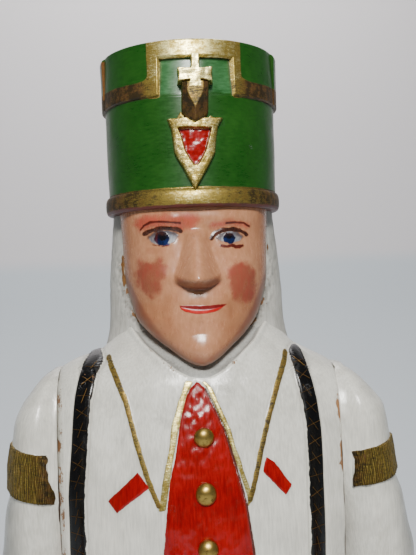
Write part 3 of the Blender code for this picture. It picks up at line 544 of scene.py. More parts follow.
def skin(name, rings, marks, flip=False):
    # a closed skin over rings that run round the piece from its foot to its top
    rows, columns = rings.shape[:2]
    points = toWorld(rings).reshape(-1, 3)
    low, high, top = len(points), len(points) + 1, (rows - 1) * columns
    points = np.concatenate([points, points[:columns].mean(0)[None], points[-columns:].mean(0)[None]])
    k = np.arange(columns)
    beside = (k + 1) % columns
    row = np.arange(rows - 1)[:, None] * columns
    quads = np.stack([row + k, row + beside, row + columns + beside, row + columns + k], axis=-1)
    faces = quads.reshape(-1, 4).tolist()
    faces += [(low, int(b), int(a)) for a, b in zip(k, beside)]
    faces += [(high, int(top + a), int(top + b)) for a, b in zip(k, beside)]
    if flip:
        faces = [face[::-1] for face in faces]
    mesh = bpy.data.meshes.new(name)
    mesh.from_pydata(points.tolist(), [], faces)
    for label, values in marks.items():
        values = np.broadcast_to(values, (rows, columns))
        setMark(mesh, label, np.concatenate([values.reshape(-1), [values[0].mean(), values[-1].mean()]]))
    mesh.shade_smooth()
    return pieceOf(name, mesh)


def joined(name, pieces):  # one object out of several that share their attributes
    bpy.ops.object.select_all(action="DESELECT")
    for piece in pieces:
        piece.select_set(True)
    bpy.context.view_layer.objects.active = pieces[0]
    bpy.ops.object.join()
    pieces[0].name = name
    pieces[0].data.name = name
    return pieces[0]


def finish(piece, material, slot, *nodes):
    piece.data.materials.clear()
    piece.data.materials.append(material)
    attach(piece, "root")
    if nodes:
        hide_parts(*nodes)


# The hat

hat = {
    "top": 750, "crown": 747.5, "bandFoot": 662.5, "bandTop": 672.5, "bandRadius": 50, "wallFoot": 47.9,
    "wallTop": 48.6, "shellFoot": 721, "shellRadius": 50.2, "lean": 1.0, "rearAngles": (-73, 69), "rearRise": 1.6,
    "windowSides": (-17, 22.4), "windowRadius": 49, "windowTop": 741, "windowLean": 0.13, "stripTop": 728.6,
    "frameSides": (-22.8, 26.8), "bore": 44,
}


def hatWall(z):
    return (
        hat["wallFoot"]
        + (hat["wallTop"] - hat["wallFoot"]) * (z - hat["bandTop"]) / (hat["shellFoot"] - hat["bandTop"])
    )


def makeHat():
    foot, top, middle = hat["shellFoot"], hat["top"], (hat["bandFoot"] + hat["bandTop"]) / 2
    windowTop, frameLeft, frameRight = hat["windowTop"], *hat["frameSides"]
    window = [math.asin(side / hat["windowRadius"]) for side in hat["windowSides"]]
    rears = [math.radians(a) for a in hat["rearAngles"]]
    hair = math.radians(0.09)
    turns = list(np.linspace(-math.pi, math.pi, 361)[:-1])
    for step in (*window, *rears):
        turns = [a for a in turns if abs(a - step) > 3 * hair] + [step - hair, step + hair]
    turn = np.array(sorted(turns))
    inWindow = (turn > window[0]) & (turn < window[1])
    behind = (turn < rears[0]) | (turn > rears[1])
    heights, radii = [], []

    def ring(z, radius):
        heights.append(z)
        radii.append(radius + 0 * turn)

    ring(hat["bandFoot"] + 0.05, hat["bore"])
    for a in np.radians(np.linspace(-90, 90, 15)):
        ring(middle + (hat["bandTop"] - middle) * math.sin(a), hat["bandRadius"] - 2.2 * (1 - math.cos(a)) ** 1.3)
    for z in np.linspace(hat["bandTop"] + 0.3, foot - 0.35, 50):
        ring(z, hatWall(z))
    shellRows = [(foot - 0.12, -9), (foot + 0.02, -0.5), (foot + 0.3, -0.1)]
    shellRows += [(z, 0) for z in np.linspace(foot + 0.8, windowTop - 0.5, 22)]
    shellRows += [(windowTop - 0.06, 0), (windowTop + 0.06, 0)]
    shellRows += [(z, 0) for z in np.linspace(windowTop + 0.7, top - 1.2, 9)]
    shellRows += [(top - 0.6, -0.08), (top - 0.2, -0.35), (top, -0.9)]
    for z, inset in shellRows:
        share = (z - foot) / (top - foot)
        rear = 0.25 + (hat["rearRise"] - 0.25) * share - 1.5 * rise(z, top - 1.8, top)
        shell = hat["shellRadius"] - hat["lean"] * share + behind * rear
        opened = inWindow & (z < windowTop)
        slope = hat["windowLean"] * (z - foot + 1.5) * opened
        ring(z, np.where(opened | (inset < -5), hatWall(z) - slope, shell + max(inset, -1)))
    crown = hat["crown"]
    for z, r in (
        (top, 45.4), (top - 0.1, 44.6), (top - 0.7, 44.1), (crown + 0.4, 43.9), (crown, 43.2), (crown, 32),
        (crown, 16), (crown, 4)
    ):
        ring(z, r)
    height = np.array(heights)[:, None] + 0 * turn
    radius = np.array(radii)
    rim = (height > 664) & (radius > 46)
    spot = np.stack([50 * np.sin(turn) + 0 * height, -50 * np.cos(turn) + 0 * height, height], -1)
    radius = radius + rim * (0.24 * unevenness(spot, 21, 3) + 0.09 * unevenness(spot, 6.5, 4))
    height = height + (height > hat["bandTop"]) * (height < 745) * (0.35 * unevenness(spot * (1, 1, 0.2), 15, 6))
    rings = np.stack([radius * np.sin(turn), -radius * np.cos(turn), height], -1)
    x = rings[..., 0]
    front = np.cos(turn) > 0
    away = np.maximum(window[0] - turn, turn - window[1]) * hat["windowRadius"]
    corner = 2.5 * np.exp(-np.maximum(np.maximum(frameLeft - x, x - frameRight), 0) / 2)
    stripTop = hat["stripTop"] + corner + 1.4 * np.sin(turn) ** 2
    strip = np.where(away > -0.05, np.minimum(height - foot + 0.4, stripTop - height), -3)
    frame = np.minimum(x - frameLeft, frameRight - x)
    sides = np.where(front & (height > foot - 0.4), np.minimum(away + 0.35, frame), -3)
    over = np.where(front & (height > windowTop - 0.03), frame, -3)
    band = np.minimum(hat["bandTop"] + 0.6 - height, height - hat["bandFoot"] - 1.2)
    rearEdge = np.where(height > 727, 1.6 - np.abs(turn - rears[0]) * 50, -3)
    marks = edgeAndHollow(rings, 2, 1.6)
    outside = np.where(radius > 44.5, np.maximum.reduce([strip, sides, over]), -3)  # none on the crown
    marks["gold"] = np.maximum(outside, band)
    # painted shade: umber along the foot of the band, where its underside lies in shadow
    marks["bandFootShade"] = hat["bandFoot"] + 1.7 - height
    marks["rearGilt"] = np.where(radius > 46, np.minimum(rearEdge, 748 - height), -3)
    inPanel = front & (height > foot) & (height < windowTop)
    # painted sheen: the window panel is painted a paler green than the rest of the hat
    marks["panelSheen"] = np.where(inPanel, np.minimum(-away - 0.6, height - foot - 1), -3)
    # the gilt darkens towards the sides of the hat and on the strips beside the frame, and is lighter on the front
    # above the strip
    onStrip = 0.5 * (height > 700) * rise(-frame, -0.5, 6)
    marks["tarnish"] = np.clip(
        0.16 + 0.95 * np.abs(np.sin(turn)) ** 1.2 - 0.3 * (height > 729) * front + onStrip, 0, 1
    )
    piece = skin("hat", rings, marks)
    coats = [
        ("panelSheen", "sheenGreen", 1.2, 0.8, 0.75), ("gold", "bronze", 0.35, 0.12, 1),
        ("bandFootShade", "umber", 0.5, 0.3, 1), ("rearGilt", "ochre", 1.6, 0.3, 1),
    ]
    material = paintedWood("hatPaint", "green", coats, (0.25, 0.25, 0.9), wear=0.12, grime=0.55, cracks=0.0)
    finish(piece, material, "green_painted_wood", "figure")


# The badge on the hat: heights above the hat's wall against x and z

badge = {
    "middle": 0.3, "skew": 0.03,
    "shield": [
        (-14.6, 708.6), (14.6, 708.6), (11.7, 704), (11.1, 698), (10.4, 690.7), (5.9, 681.8), (0, 671.5),
        (-5.9, 681.8), (-10.8, 690.7), (-12.3, 703),
    ],
    "peaks": [(-10, 708), (-7.5, 712), (-5, 708), (6, 708), (8, 709.6), (11, 708)],
    "field": [
        (-8.7, 703.2), (8.3, 703.2), (7.6, 700), (5.5, 691.3), (1.4, 684.2), (-0.8, 684.2), (-5.2, 691.3),
        (-7.6, 700),
    ],
    "barHeight": 730.2, "shieldRise": 4.5, "fieldDepth": 3.3, "crossRise": 7.4, "knobRise": 9.4, "wall": 1.2,
    "cell": 0.26,
}


def makeBadge():
    cell = badge["cell"]
    xs = np.arange(-15.5, 15.6, cell)
    zs = np.arange(670, 742.6, cell)
    x, z = np.meshgrid(xs, zs)
    flat = np.stack([x, 0 * x, z], -1)
    wobbleX = x + 0.3 * unevenness(flat, 5, 21)
    wobbleZ = z + 0.3 * unevenness(flat, 5, 22)
    shield = np.maximum(*(insideOf(wobbleX, wobbleZ, badge[name]) for name in ("shield", "peaks")))
    field = insideOf(wobbleX, wobbleZ, badge["field"])
    waist = 2.1 + 0.95 * rise(735 - wobbleZ, 0, 8)
    upright = np.minimum(np.minimum(waist - np.abs(wobbleX), 740.6 - wobbleZ), wobbleZ - 723)
    off = np.abs(wobbleZ - badge["barHeight"])
    bar = np.minimum(8.3 + 0.5 * off / 3 - np.abs(wobbleX), 3.1 - off + 0.5 * rise(np.abs(wobbleX), 4, 8))
    cross = np.maximum(upright, bar)
    knobEnd = 713 - 6.6 * np.sqrt(np.clip(1 - (wobbleX / 7) ** 2, 0, 1))
    knob = np.minimum(np.minimum(6.9 - np.abs(wobbleX), 726.2 - wobbleZ), wobbleZ - knobEnd)
    soft, base = 0.45, -0.8
    body = badge["shieldRise"] + 0.25 * unevenness(flat, 6, 23)
    raised = base + (body - base) * rise(shield, -soft, soft) - 0.35 * rise(-shield, -2, 0)
    height = np.where(shield > -soft, raised, -1.5)
    sunk = height - badge["fieldDepth"] * rise(field, -soft, soft)
    height = np.where(field > -soft, sunk + rise(field, 0.5, 2) * 0.2 * unevenness(flat, 2.6, 26), height)
    facet = np.clip((np.abs(wobbleX) - 4.2 * rise(wobbleZ, 711, 722)) / 7, 0, 1)
    wedge = badge["knobRise"] - 6.5 * facet - 2.4 * rise(713 - wobbleZ, 0, 8)
    height = np.where(knob > -soft, np.maximum(height, base + (wedge - base) * rise(knob, -soft, soft)), height)
    lump = badge["crossRise"] + 0.35 * unevenness(flat, 3.5, 24)
    height = np.where(
        cross > -soft, np.maximum(height, base + (lump - base) * rise(cross, -soft, soft * 0.7)), height
    )
    height = height + (height > 0.5) * 0.12 * unevenness(flat, 1.6, 25)
    shifted = x + badge["middle"] + badge["skew"] * (z - 671.5)
    keep = height > -1.4
    y = -np.sqrt(np.maximum(hatWall(z) ** 2 - shifted**2, 1)) - np.where(keep, height, -1.5)
    rings = np.stack([shifted, y, z], -1)
    marks = edgeAndHollow(rings, 2, 2.2)
    marks["field"] = field - 0.35
    onKnob = rise(knob, -0.5, 0.6) * (cross < 0.2)
    # painted light and shade: the knob is painted dark as if shaded, except its lit front facet
    lit = (np.abs(wobbleX) < 4.2 * rise(wobbleZ, 711, 721)) & (wobbleZ < 726)
    marks["tarnish"] = np.clip(0.14 + onKnob * np.where(lit, 0.55, 1.05) - 0.3 * rise(cross, -0.3, 0.3), -0.25, 1)
    rows, columns = x.shape
    use = keep[:-1, :-1] & keep[1:, :-1] & keep[:-1, 1:] & keep[1:, 1:]
    corner = (np.arange(rows - 1)[:, None] * columns + np.arange(columns - 1))[use]
    quads = np.stack([corner, corner + 1, corner + columns + 1, corner + columns], -1)
    mesh = bpy.data.meshes.new("badgeFront")
    mesh.from_pydata(toWorld(rings).reshape(-1, 3).tolist(), [], quads.tolist())
    for label, values in marks.items():
        setMark(mesh, label, values)
    bm = bmesh.new()
    bm.from_mesh(mesh)
    bmesh.ops.delete(bm, geom=[v for v in bm.verts if not v.link_faces], context="VERTS")
    border = [e for e in bm.edges if e.is_boundary]
    made = bmesh.ops.extrude_edge_only(bm, edges=border)["geom"]
    for vertex in (v for v in made if isinstance(v, bmesh.types.BMVert)):
        vertex.co.y += badge["wall"] * unit
    bmesh.ops.holes_fill(bm, edges=[e for e in bm.edges if e.is_boundary], sides=0)
    bmesh.ops.recalc_face_normals(bm, faces=bm.faces)
    bm.to_mesh(mesh)
    bm.free()
    mesh.shade_smooth()
    coats = [("field", "red", 0.3, 0.15, 1)]
    material = paintedWood(
        "badgePaint", "bronze", coats, (0.8, 0.8, 0.8), wear=0.1, grime=0.75, cracks=0, bareTone="umber"
    )
    finish(pieceOf("badge", mesh), material, "gilt_wood", "hat_badge")


# The face and the hood behind it

headRows = [
    (579.2, 1.2, -43, -34, -40), (579.8, 3.2, -45.5, -33, -39.5), (580.7, 5.4, -47.5, -31, -39),
    (582.6, 8.9, -48.9, -27, -38), (588, 16, -49.3, -18, -35), (596, 25.9, -49, -6, -28), (605, 33.4, -48.5, 6, -18),
    (614, 37, -47.9, 14, -10), (626, 40, -46.6, 20, -6), (647, 41, -44.5, 20, -5), (668, 42, -44.5, 20, -5),
]
hoodRows = [
    (573, 57, 30, 46), (587, 53.5, 28, 44), (600, 51, 27, 43), (625, 49.5, 26, 42), (650, 47.5, 26, 42),
    (668, 46, 26, 42),
]
face = {
    "noseBridge": 652, "noseTip": 624.5, "noseRise": 15.5, "wingHalf": 13.2,
    "whiteRight": [
        (-24.9, 647.9), (-22.3, 650.2), (-18.9, 651.4), (-14.3, 651.1), (-10.4, 649.6), (-9.5, 648.4), (-11.6, 644.9),
        (-15.9, 643.5), (-20.5, 644), (-23.9, 645.8),
    ],
    "lidRight": [
        (-27.4, 650.2), (-25, 651.2), (-21.6, 652), (-17.6, 652.4), (-13.6, 652.2), (-9.7, 651.6), (-8.2, 650.4),
    ],
    "underRight": [(-23.2, 643.9), (-17.9, 643), (-12.6, 643.5)],
    "irisRight": (-18, 647.1, 3.85), "pupilRight": (-17.7, 647.8, 2.1),
    "whiteLeft": [
        (10.4, 646.5), (12.9, 648.7), (17.4, 649.8), (22, 649.2), (25.2, 646.9), (22.8, 644.6), (17.9, 643.4),
        (13.4, 644.7),
    ],
    "lidLeft": [(7.9, 646.2), (10, 648.9), (14.1, 650.6), (18.8, 650.9), (23.6, 650.2), (27.1, 648)],
    "underLeft": [(13.2, 642.3), (16, 641.6), (18.6, 642.2), (21.4, 641.5), (24.6, 642)],
    "irisLeft": (17.3, 646, 3.2), "pupilLeft": (17.5, 647.3, 1.6), "irisFoot": [(-17, 643.7), (-14.2, 643.9)],
    "glintSpot": (18.6, 648.9, 0.4), "glintLine": [(16.5, 649.2), (19.4, 649.5)],
    "shadeRight": [(-25, 640.8), (-19, 640.6)], "washLeft": [(9, 653.2), (20, 654.2), (27, 652.6)],
    "browRight": [(-29.3, 652.4), (-27.5, 654.4), (-24.1, 655.9), (-18.8, 656), (-13.5, 655.4), (-8.3, 654.8)],
    "browLeft": [(16.1, 654), (20.9, 654.4), (25.8, 654.1), (28.8, 652.3)],
    "wash": [
        (-33.4, 655.1), (-29.4, 659), (-16, 660), (-2.9, 660), (3.6, 656.5), (-1.8, 651.8), (-8.4, 650.8),
        (-17.5, 653), (-29.7, 651.6),
    ],
    "lips": [
        (-10.2, 611.6), (-6, 611.5), (-0.8, 611.3), (5.7, 611.2), (10.3, 611.4), (14.6, 611.6), (11.5, 609.2),
        (8.2, 607.8), (3.6, 607), (-2.2, 607.2), (-6.7, 608.2), (-9.3, 609.8),
    ],
    "rougeRight": [
        (-30.3, 635.7), (-18.1, 635.8), (-16, 631.7), (-18.6, 622.6), (-20, 619.4), (-24.9, 614.9), (-29.5, 618.9),
        (-33.8, 628.5),
    ],
    "rougeLeft": [
        (15.6, 629.9), (23.6, 633.7), (30.7, 630.2), (31.9, 620.7), (30.1, 612.7), (19.3, 612.7), (16.2, 621.4),
    ],
}


def faceRelief(x, z):
    bridge, tip, wing = face["noseBridge"], face["noseTip"], face["wingHalf"]
    run = np.clip((bridge - z) / (bridge - tip), 0, 1)
    half = 6.0 + (wing - 6.0) * run**1.5
    ridge = 2.2 * rise(run, 0, 0.2) + (face["noseRise"] - 2.2) * (run**1.28 - 0.07 * rise(run, 0.78, 1))
    across = np.clip(np.abs(x) / half, 0, 1)
    nose = ridge * (1 - across ** (1.75 + 0.25 * run)) ** 1.35
    nose = nose + 1.5 * bump(x, z, 0, 627, 5, 4.5) + 1.0 * bump(np.abs(x), z, 8.6, 624.5, 3.4, 3.4)
    under = tip - 4.9 + 4.6 * np.clip(np.abs(x) / wing, 0, 1) ** 2
    tall = 6.0
    nose = nose * np.clip(1 - (np.clip(under + tall - z, 0, tall) / tall) ** 2, 0, 1) ** 0.7
    sockets = -2.1 * bump(np.abs(x), z, 17, 647.5, 10.5, 5.5) - 1.0 * bump(np.abs(x), z, 9, 650, 4, 6)
    eyeballs = 1.7 * bump(np.abs(x), z, 17.4, 647.2, 7, 4)
    lids = sum(0.35 * np.clip(1 - lineDistance(x, z, face[lid]) / 1.1, 0, 1) for lid in ("lidRight", "lidLeft"))
    brows = 1.1 * bump(np.abs(x), z, 17, 656.5, 13, 3.4)
    cheeks = 1.7 * bump(np.abs(x), z, 24.5, 627, 10, 11)
    fold = -0.7 * np.exp(-((lineDistance(np.abs(x), z, [(14.5, 622), (18, 614), (19.5, 607)]) / 2.2) ** 2))
    mouth = 0.6 * bump(x, z, 2, 613.8, 12, 4) + 0.35 * bump(x, z, 2, 605.8, 8, 2.2)
    mouth = mouth + 0.12 * np.clip(insideOf(x, z, face["lips"]) / 0.5, 0, 1)
    slit = -0.1 * np.exp(-((lineDistance(x, z, [(-9.6, 610.9), (2, 609.7), (13.8, 611.2)]) / 0.75) ** 2))
    groove = -0.12 * bump(x, z, 0.4, 614.5, 2.4, 3.4)
    below = -2.8 * bump(np.abs(x), z, 25, 595, 11, 12)
    chin = 1.4 * np.clip(1 - ((x - 0.8) / 10) ** 2 - ((z - 589.6) / 7) ** 2, 0, 1) ** 1.15
    return nose + sockets + eyeballs + lids + brows + cheeks + fold + mouth + slit + groove + below + chin


def makeFace():
    z = np.concatenate([[579.2, 579.4, 579.7], np.linspace(580.1, 668, 166)])
    half, front, back, middle = (v[:, None] for v in curveThrough(headRows, z))
    spread = np.linspace(-1, 1, 261)[:-1]
    turn = math.pi * spread * (0.42 + 0.58 * np.abs(spread) ** 1.5)
    depth = np.where(np.cos(turn) > 0, middle - front, back - middle)
    x = half * squared(np.sin(turn), 2.3)
    y = middle - depth * squared(np.cos(turn), 2.3)
    z = z[:, None] + 0 * x
    ahead = np.clip(np.cos(turn), 0, 1) ** 0.5
    y = y - faceRelief(x, z) * ahead
    x = x + (1.3 * rise(-z, -596, -584) - 0.9 * np.exp(-(((z - 603) / 7) ** 2))) * ahead
    spot = np.stack([x, y, z], -1)
    y = y - ahead * (0.22 * unevenness(spot, 9, 11) + 0.07 * unevenness(spot, 3, 12))
    rings = np.stack([x, y, z], -1)
    marks = edgeAndHollow(rings, 2, 1.4)

    def mark(name, value):
        marks[name] = np.where(np.cos(turn) > 0.2, value, -5)

    def disc(name):
        atX, atZ, radius = face[name]
        return radius - np.hypot(x - atX, (z - atZ) * 1.02)

    def inside(name):
        return insideOf(x, z, face[name])

    def off(name):
        return lineDistance(x, z, face[name])

    white = np.maximum(inside("whiteRight"), inside("whiteLeft"))
    lids = np.minimum(off("lidRight"), off("lidLeft"))
    iris = np.minimum(np.maximum(disc("irisRight"), disc("irisLeft")), white + 0.5)
    onRight = x < 0
    mark("eyeWhite", white)
    mark("eyeShade", np.minimum(white, np.hypot(x - np.where(onRight, -16.6, 17.6), z - 647) - 4.6))
    mark("iris", np.maximum(iris, 0.6 - off("irisFoot")))
    # painted shadow of the lid: the top of each iris is painted dark
    mark("irisLidShadow", np.minimum(iris, z - np.where(onRight, 646.9, 646.1)))
    mark("irisRust", np.minimum(iris, np.where(onRight, -20.2 - x, -9)))
    mark("pupil", np.minimum(np.maximum(disc("pupilRight"), disc("pupilLeft")), white + 0.8))
    mark("lid", 1.1 - lids)
    # painted shadow of the lid: lash colour on the white just under it
    mark("lidShadow", np.minimum(white + 0.6, 3.2 - lids))
    mark("under", np.maximum(0.25 - off("underRight"), 0.8 - off("underLeft")))
    mark("brow", np.maximum(0.6 - off("browRight"), 0.55 - off("browLeft")))
    mark("wash", np.maximum(inside("wash"), 1.3 - off("washLeft")))
    # painted shade and light: the lips are painted a shaded dark red, and the lower lip a lit bright red
    mark("lips", inside("lips"))
    mark("lowLip", np.minimum(inside("lips"), 608.9 + 0.014 * (x - 2) ** 2 - z))
    mark("rouge", np.maximum(inside("rougeRight"), inside("rougeLeft")))
    mark("shade", np.maximum(2.2 - off("shadeRight"), 0))
    # painted shade: umber under the nose and under the chin
    below = face["noseTip"] - 1.4 + 4.8 * (x / face["wingHalf"]) ** 2 - z
    mark("noseShadow", np.minimum(np.minimum(below, 11.5 - np.abs(x)), 1.2 * (z - 618.6 - 0.026 * x**2)))
    mark("chinShadow", 584.6 + 0.03 * x**2 - z)
    # painted shade: darker skin on the lower sides of the face and on its far sides
    mark("deep", np.maximum(np.minimum(616 - z, np.abs(x) - 13), np.abs(x) - 35))
    # painted highlight: a white glint spot and line on the left eye
    mark("glint", np.maximum(disc("glintSpot"), 0.4 - off("glintLine")))
    piece = skin("face", rings, marks)
    coats = [
        ("deep", "shadedSkin", 2.5, 5, 0.9), ("noseShadow", "umber", 0.5, 1.6, 0.8),
        ("chinShadow", "umber", 0.8, 2.4, 0.6), ("wash", "wash", 1.8, 2.2, 0.85), ("rouge", "rouge", 2.8, 2.2, 0.84),
        ("shade", "rouge", 1.2, 1.5, 0.35), ("eyeWhite", "eyeWhite", 0.6, 0.3, 1),
        ("eyeShade", "eyeShade", 1.5, 1.2, 0.9), ("iris", "blue", 0.8, 0.3, 1), ("irisLidShadow", "pupil", 1.1, 0.6, 0.9),
        ("irisRust", "brow", 0.6, 0.5, 0.8), ("pupil", "pupil", 0.5, 0.3, 1), ("lidShadow", "lash", 0.9, 0.9, 0.9),
        ("glint", "eyeWhite", 0.3, 0.25, 0.8), ("under", "brow", 1.0, 0.3, 1), ("lid", "lash", 0.8, 0.35, 1),
        ("brow", "brow", 0.5, 0.3, 1), ("lips", "shadedLipRed", 0.4, 0.25, 1), ("lowLip", "litLipRed", 0.2, 0.3, 1),
    ]
    material = paintedWood(
        "facePaint", "skin", coats, (0.5, 0.5, 0.22), wear=0.0, grime=0.28, cracks=0.1, relief=0.025
    )
    finish(piece, material, "painted_wood", "figure")


def makeHood():
    z = np.linspace(573, 668, 120)
    half, front, back = (v[:, None] for v in curveThrough(hoodRows, z))
    turn = np.linspace(-math.pi, math.pi, 273)[:-1]
    depth = np.where(np.cos(turn) > 0, front, back)
    x = half * squared(np.sin(turn), 2.4)
    y = 6 - depth * squared(np.cos(turn), 2.4)
    z = z[:, None] + 0 * x
    rings = np.stack([x, y, z], -1)
    folds = (
        0.5 * unevenness(rings * (1, 1, 0.25), 9, 31) + 0.3 * unevenness(rings, 14, 32)
        + 0.14 * unevenness(rings, 3.2, 33)
    )
    headHalf = curveThrough(headRows, z)[0]
    hacked = np.exp(-(((np.abs(x) - headHalf - 2) / 4) ** 2)) * rise(-z, -655, -625)
    folds = folds + hacked * (0.6 * unevenness(rings, 2.4, 35) + 0.5 * unevenness(rings, 1.3, 36))
    rings = rings + faceNormals(rings) * folds[..., None]
    seam = np.abs(np.abs(x) - headHalf - 0.8)
    front = np.cos(turn) > 0
    nearSeam = front & (z < 624) & (z > 592)
    marks = edgeAndHollow(rings, 2, 2.2)
    marks["chips"] = np.where(nearSeam, 0.3 - seam + 1.6 * unevenness(rings, 2.2, 34), -5)
    rightStrip = 0.8 - np.abs(x + 40.6) - 0.5 * np.clip(np.abs(z - 631) - 8, 0, None)
    leftStrip = 0.5 - np.abs(x - 41.6) - 0.1 * np.abs(z - 642)
    marks["strip"] = np.where(front, np.where(x < 0, rightStrip, leftStrip), -5)
    marks["hollow"] = np.clip(marks["hollow"] + nearSeam * rise(3.5 - seam, 0, 3) * 0.6, 0, 1)
    piece = skin("hood", rings, marks)
    coats = [("chips", "rawWood", 1.5, 0.2, 1), ("strip", "ochre", 0.8, 0.2, 1)]
    # painted shade: the hood is painted a greyer white than the coat, as it lies in less light
    material = paintedWood(
        "hoodPaint", "shadedHoodWhite", coats, (0.9, 0.9, 0.1), wear=0.3, grime=0.6, cracks=0.5, relief=0.24
    )
    finish(piece, material, "painted_wood", "figure")


# The coat

coatRows = [
    (305, 92, 66, 62), (340, 87, 63, 59), (370, 81, 60, 54), (398, 73, 56, 47), (410, 71.5, 55, 45.5),
    (422, 73, 56, 45), (440, 79, 57.5, 44), (460, 87, 58, 44), (490, 94, 58, 45), (521, 96, 56, 45.5),
    (545, 96, 52, 45), (560, 92, 48.5, 43.5), (570, 85, 46, 41.5), (577, 74, 43.5, 39.5), (582, 64, 41, 37.5),
    (587, 52, 38, 35), (591, 36, 32, 28),
]
coat = {
    "seamLeft": 75.2, "seamRight": 78.2, "beltFoot": 399, "beltTop": 421, "beltRise": 1.8, "lapelHalf": 1.35,
    "folds": 8, "foldDepth": 1.8, "strapHalf": (4.4, 4.1), "shoulderLift": 3.2,
    "lapels": [
        [(-49.6, 583.8), (-45.4, 575), (-40.1, 562.6), (-35.2, 543.2), (-29.4, 523.4), (-24.3, 510.5)],
        [(47.1, 583.2), (40, 567.5), (33.9, 550.3), (29.3, 535.6), (25.3, 521), (22.4, 511.5)],
    ],
    "vestGold": [
        [
            (-8.5, 571.9), (-11.5, 564.2), (-14.5, 555.5), (-16.5, 550), (-17.9, 538.9), (-20.2, 530), (-22.1, 521.1),
            (-23.3, 513.6), (-24.6, 507.5), (-21, 508), (-18.2, 522.3), (-16.2, 533.3), (-14.8, 539.4),
            (-12.4, 549.9), (-10.9, 556), (-8.3, 564.4), (-4.4, 571.8),
        ],
        [
            (0.3, 571.2), (2.8, 568), (5.1, 561.6), (8.3, 554.3), (11.2, 547), (13.9, 537.6), (16.3, 529.4),
            (19, 520.5), (20.8, 514), (21.4, 508.5), (24, 512.5), (22, 519), (20.5, 522.9), (18.6, 530.5),
            (16.1, 538.1), (13.9, 546.9), (10.8, 554.5), (8.4, 560.2), (5.5, 567.9), (1.8, 571.5),
        ],
    ],
    "vest": [
        (-2.8, 571.6), (-6.5, 567.7), (-8.3, 564.6), (-10.9, 555.9), (-12.4, 549.8), (-14.1, 539.3), (-15.3, 533.2),
        (-18.2, 522.7), (-19.3, 514), (-22.8, 485.8), (-24.5, 460), (-25.5, 440), (-26, 418), (28, 418), (27.5, 440),
        (26.5, 460), (24, 483.3), (20.4, 509.7), (18.8, 516), (16, 526.8), (13.3, 536.9), (10.5, 547.6), (7.6, 554.6),
        (4.1, 562.2), (1.8, 568), (-1.2, 570.9),
    ],
    "vestEdge": [
        (1.8, 568), (4.5, 562), (7.9, 554.4), (10.8, 547.3), (13.6, 537), (16.2, 527.5), (18.9, 517), (20.6, 509.7),
        (24, 483), (26.5, 460),
    ],
    "tabs": [
        [(-34.4, 527.2), (-28.6, 519.6), (-46, 506.2), (-50.6, 512.3)],
        [(31.7, 532.2), (36.3, 529), (44.9, 516.4), (41.4, 511.5), (29.7, 524.9)],
    ],
    "straps": [
        [
            (-57.2, 582.5), (-59.9, 577.3), (-63, 562.7), (-65.2, 542.3), (-66.5, 527), (-67.7, 511), (-67.7, 482),
            (-66.5, 455), (-63.5, 436), (-60, 418),
        ],
        [
            (53.2, 582), (55.3, 570), (57.6, 558), (58.9, 543), (58.9, 527), (58.5, 507), (58.3, 480), (58, 455),
            (57, 436), (55, 418),
        ],
    ],
}


def coatShape(z, columns, rows=coatRows):
    # rings of the coat, with the flat sides between the front and the back
    half, front, back = (v[:, None] for v in curveThrough(rows, z))
    limit = min(coat["seamLeft"], coat["seamRight"])
    side = math.asin(0.995)
    flat = np.where(half > limit, np.arcsin(np.clip(limit / half, 0, 1)), side)
    flat = np.where(z[:, None] > coat["beltTop"], np.minimum(flat, side), side)
    frontPart = np.linspace(-1, 1, columns * 2 // 3 + 1)[:-1]
    sidePart = np.linspace(0, 1, 15)[:-1]
    backPart = np.linspace(-1, 1, columns // 3 + 1)[:-1]
    gap = math.pi - 2 * flat
    turn = np.concatenate(
        [frontPart * flat, flat + sidePart * gap, math.pi + backPart * flat, math.pi + flat + sidePart * gap], axis=1
    )
    depth = np.where(np.cos(turn) > 0, front, back)
    return turn, half, depth


def shoulderLift(x, z):  # the right shoulder is carved a little higher than the left one
    across = rise(-x, 52, 72) * (1 - 0.9 * rise(-x, 88, 102))
    return coat["shoulderLift"] * across * rise(z, 548, 576)


def jawGap(x, z):  # how far a spot lies outside the outline of the head, from the front
    halves = [(row[1], row[0]) for row in headRows]
    return -insideOf(x, z, halves + [(-half, level) for half, level in halves[::-1]])


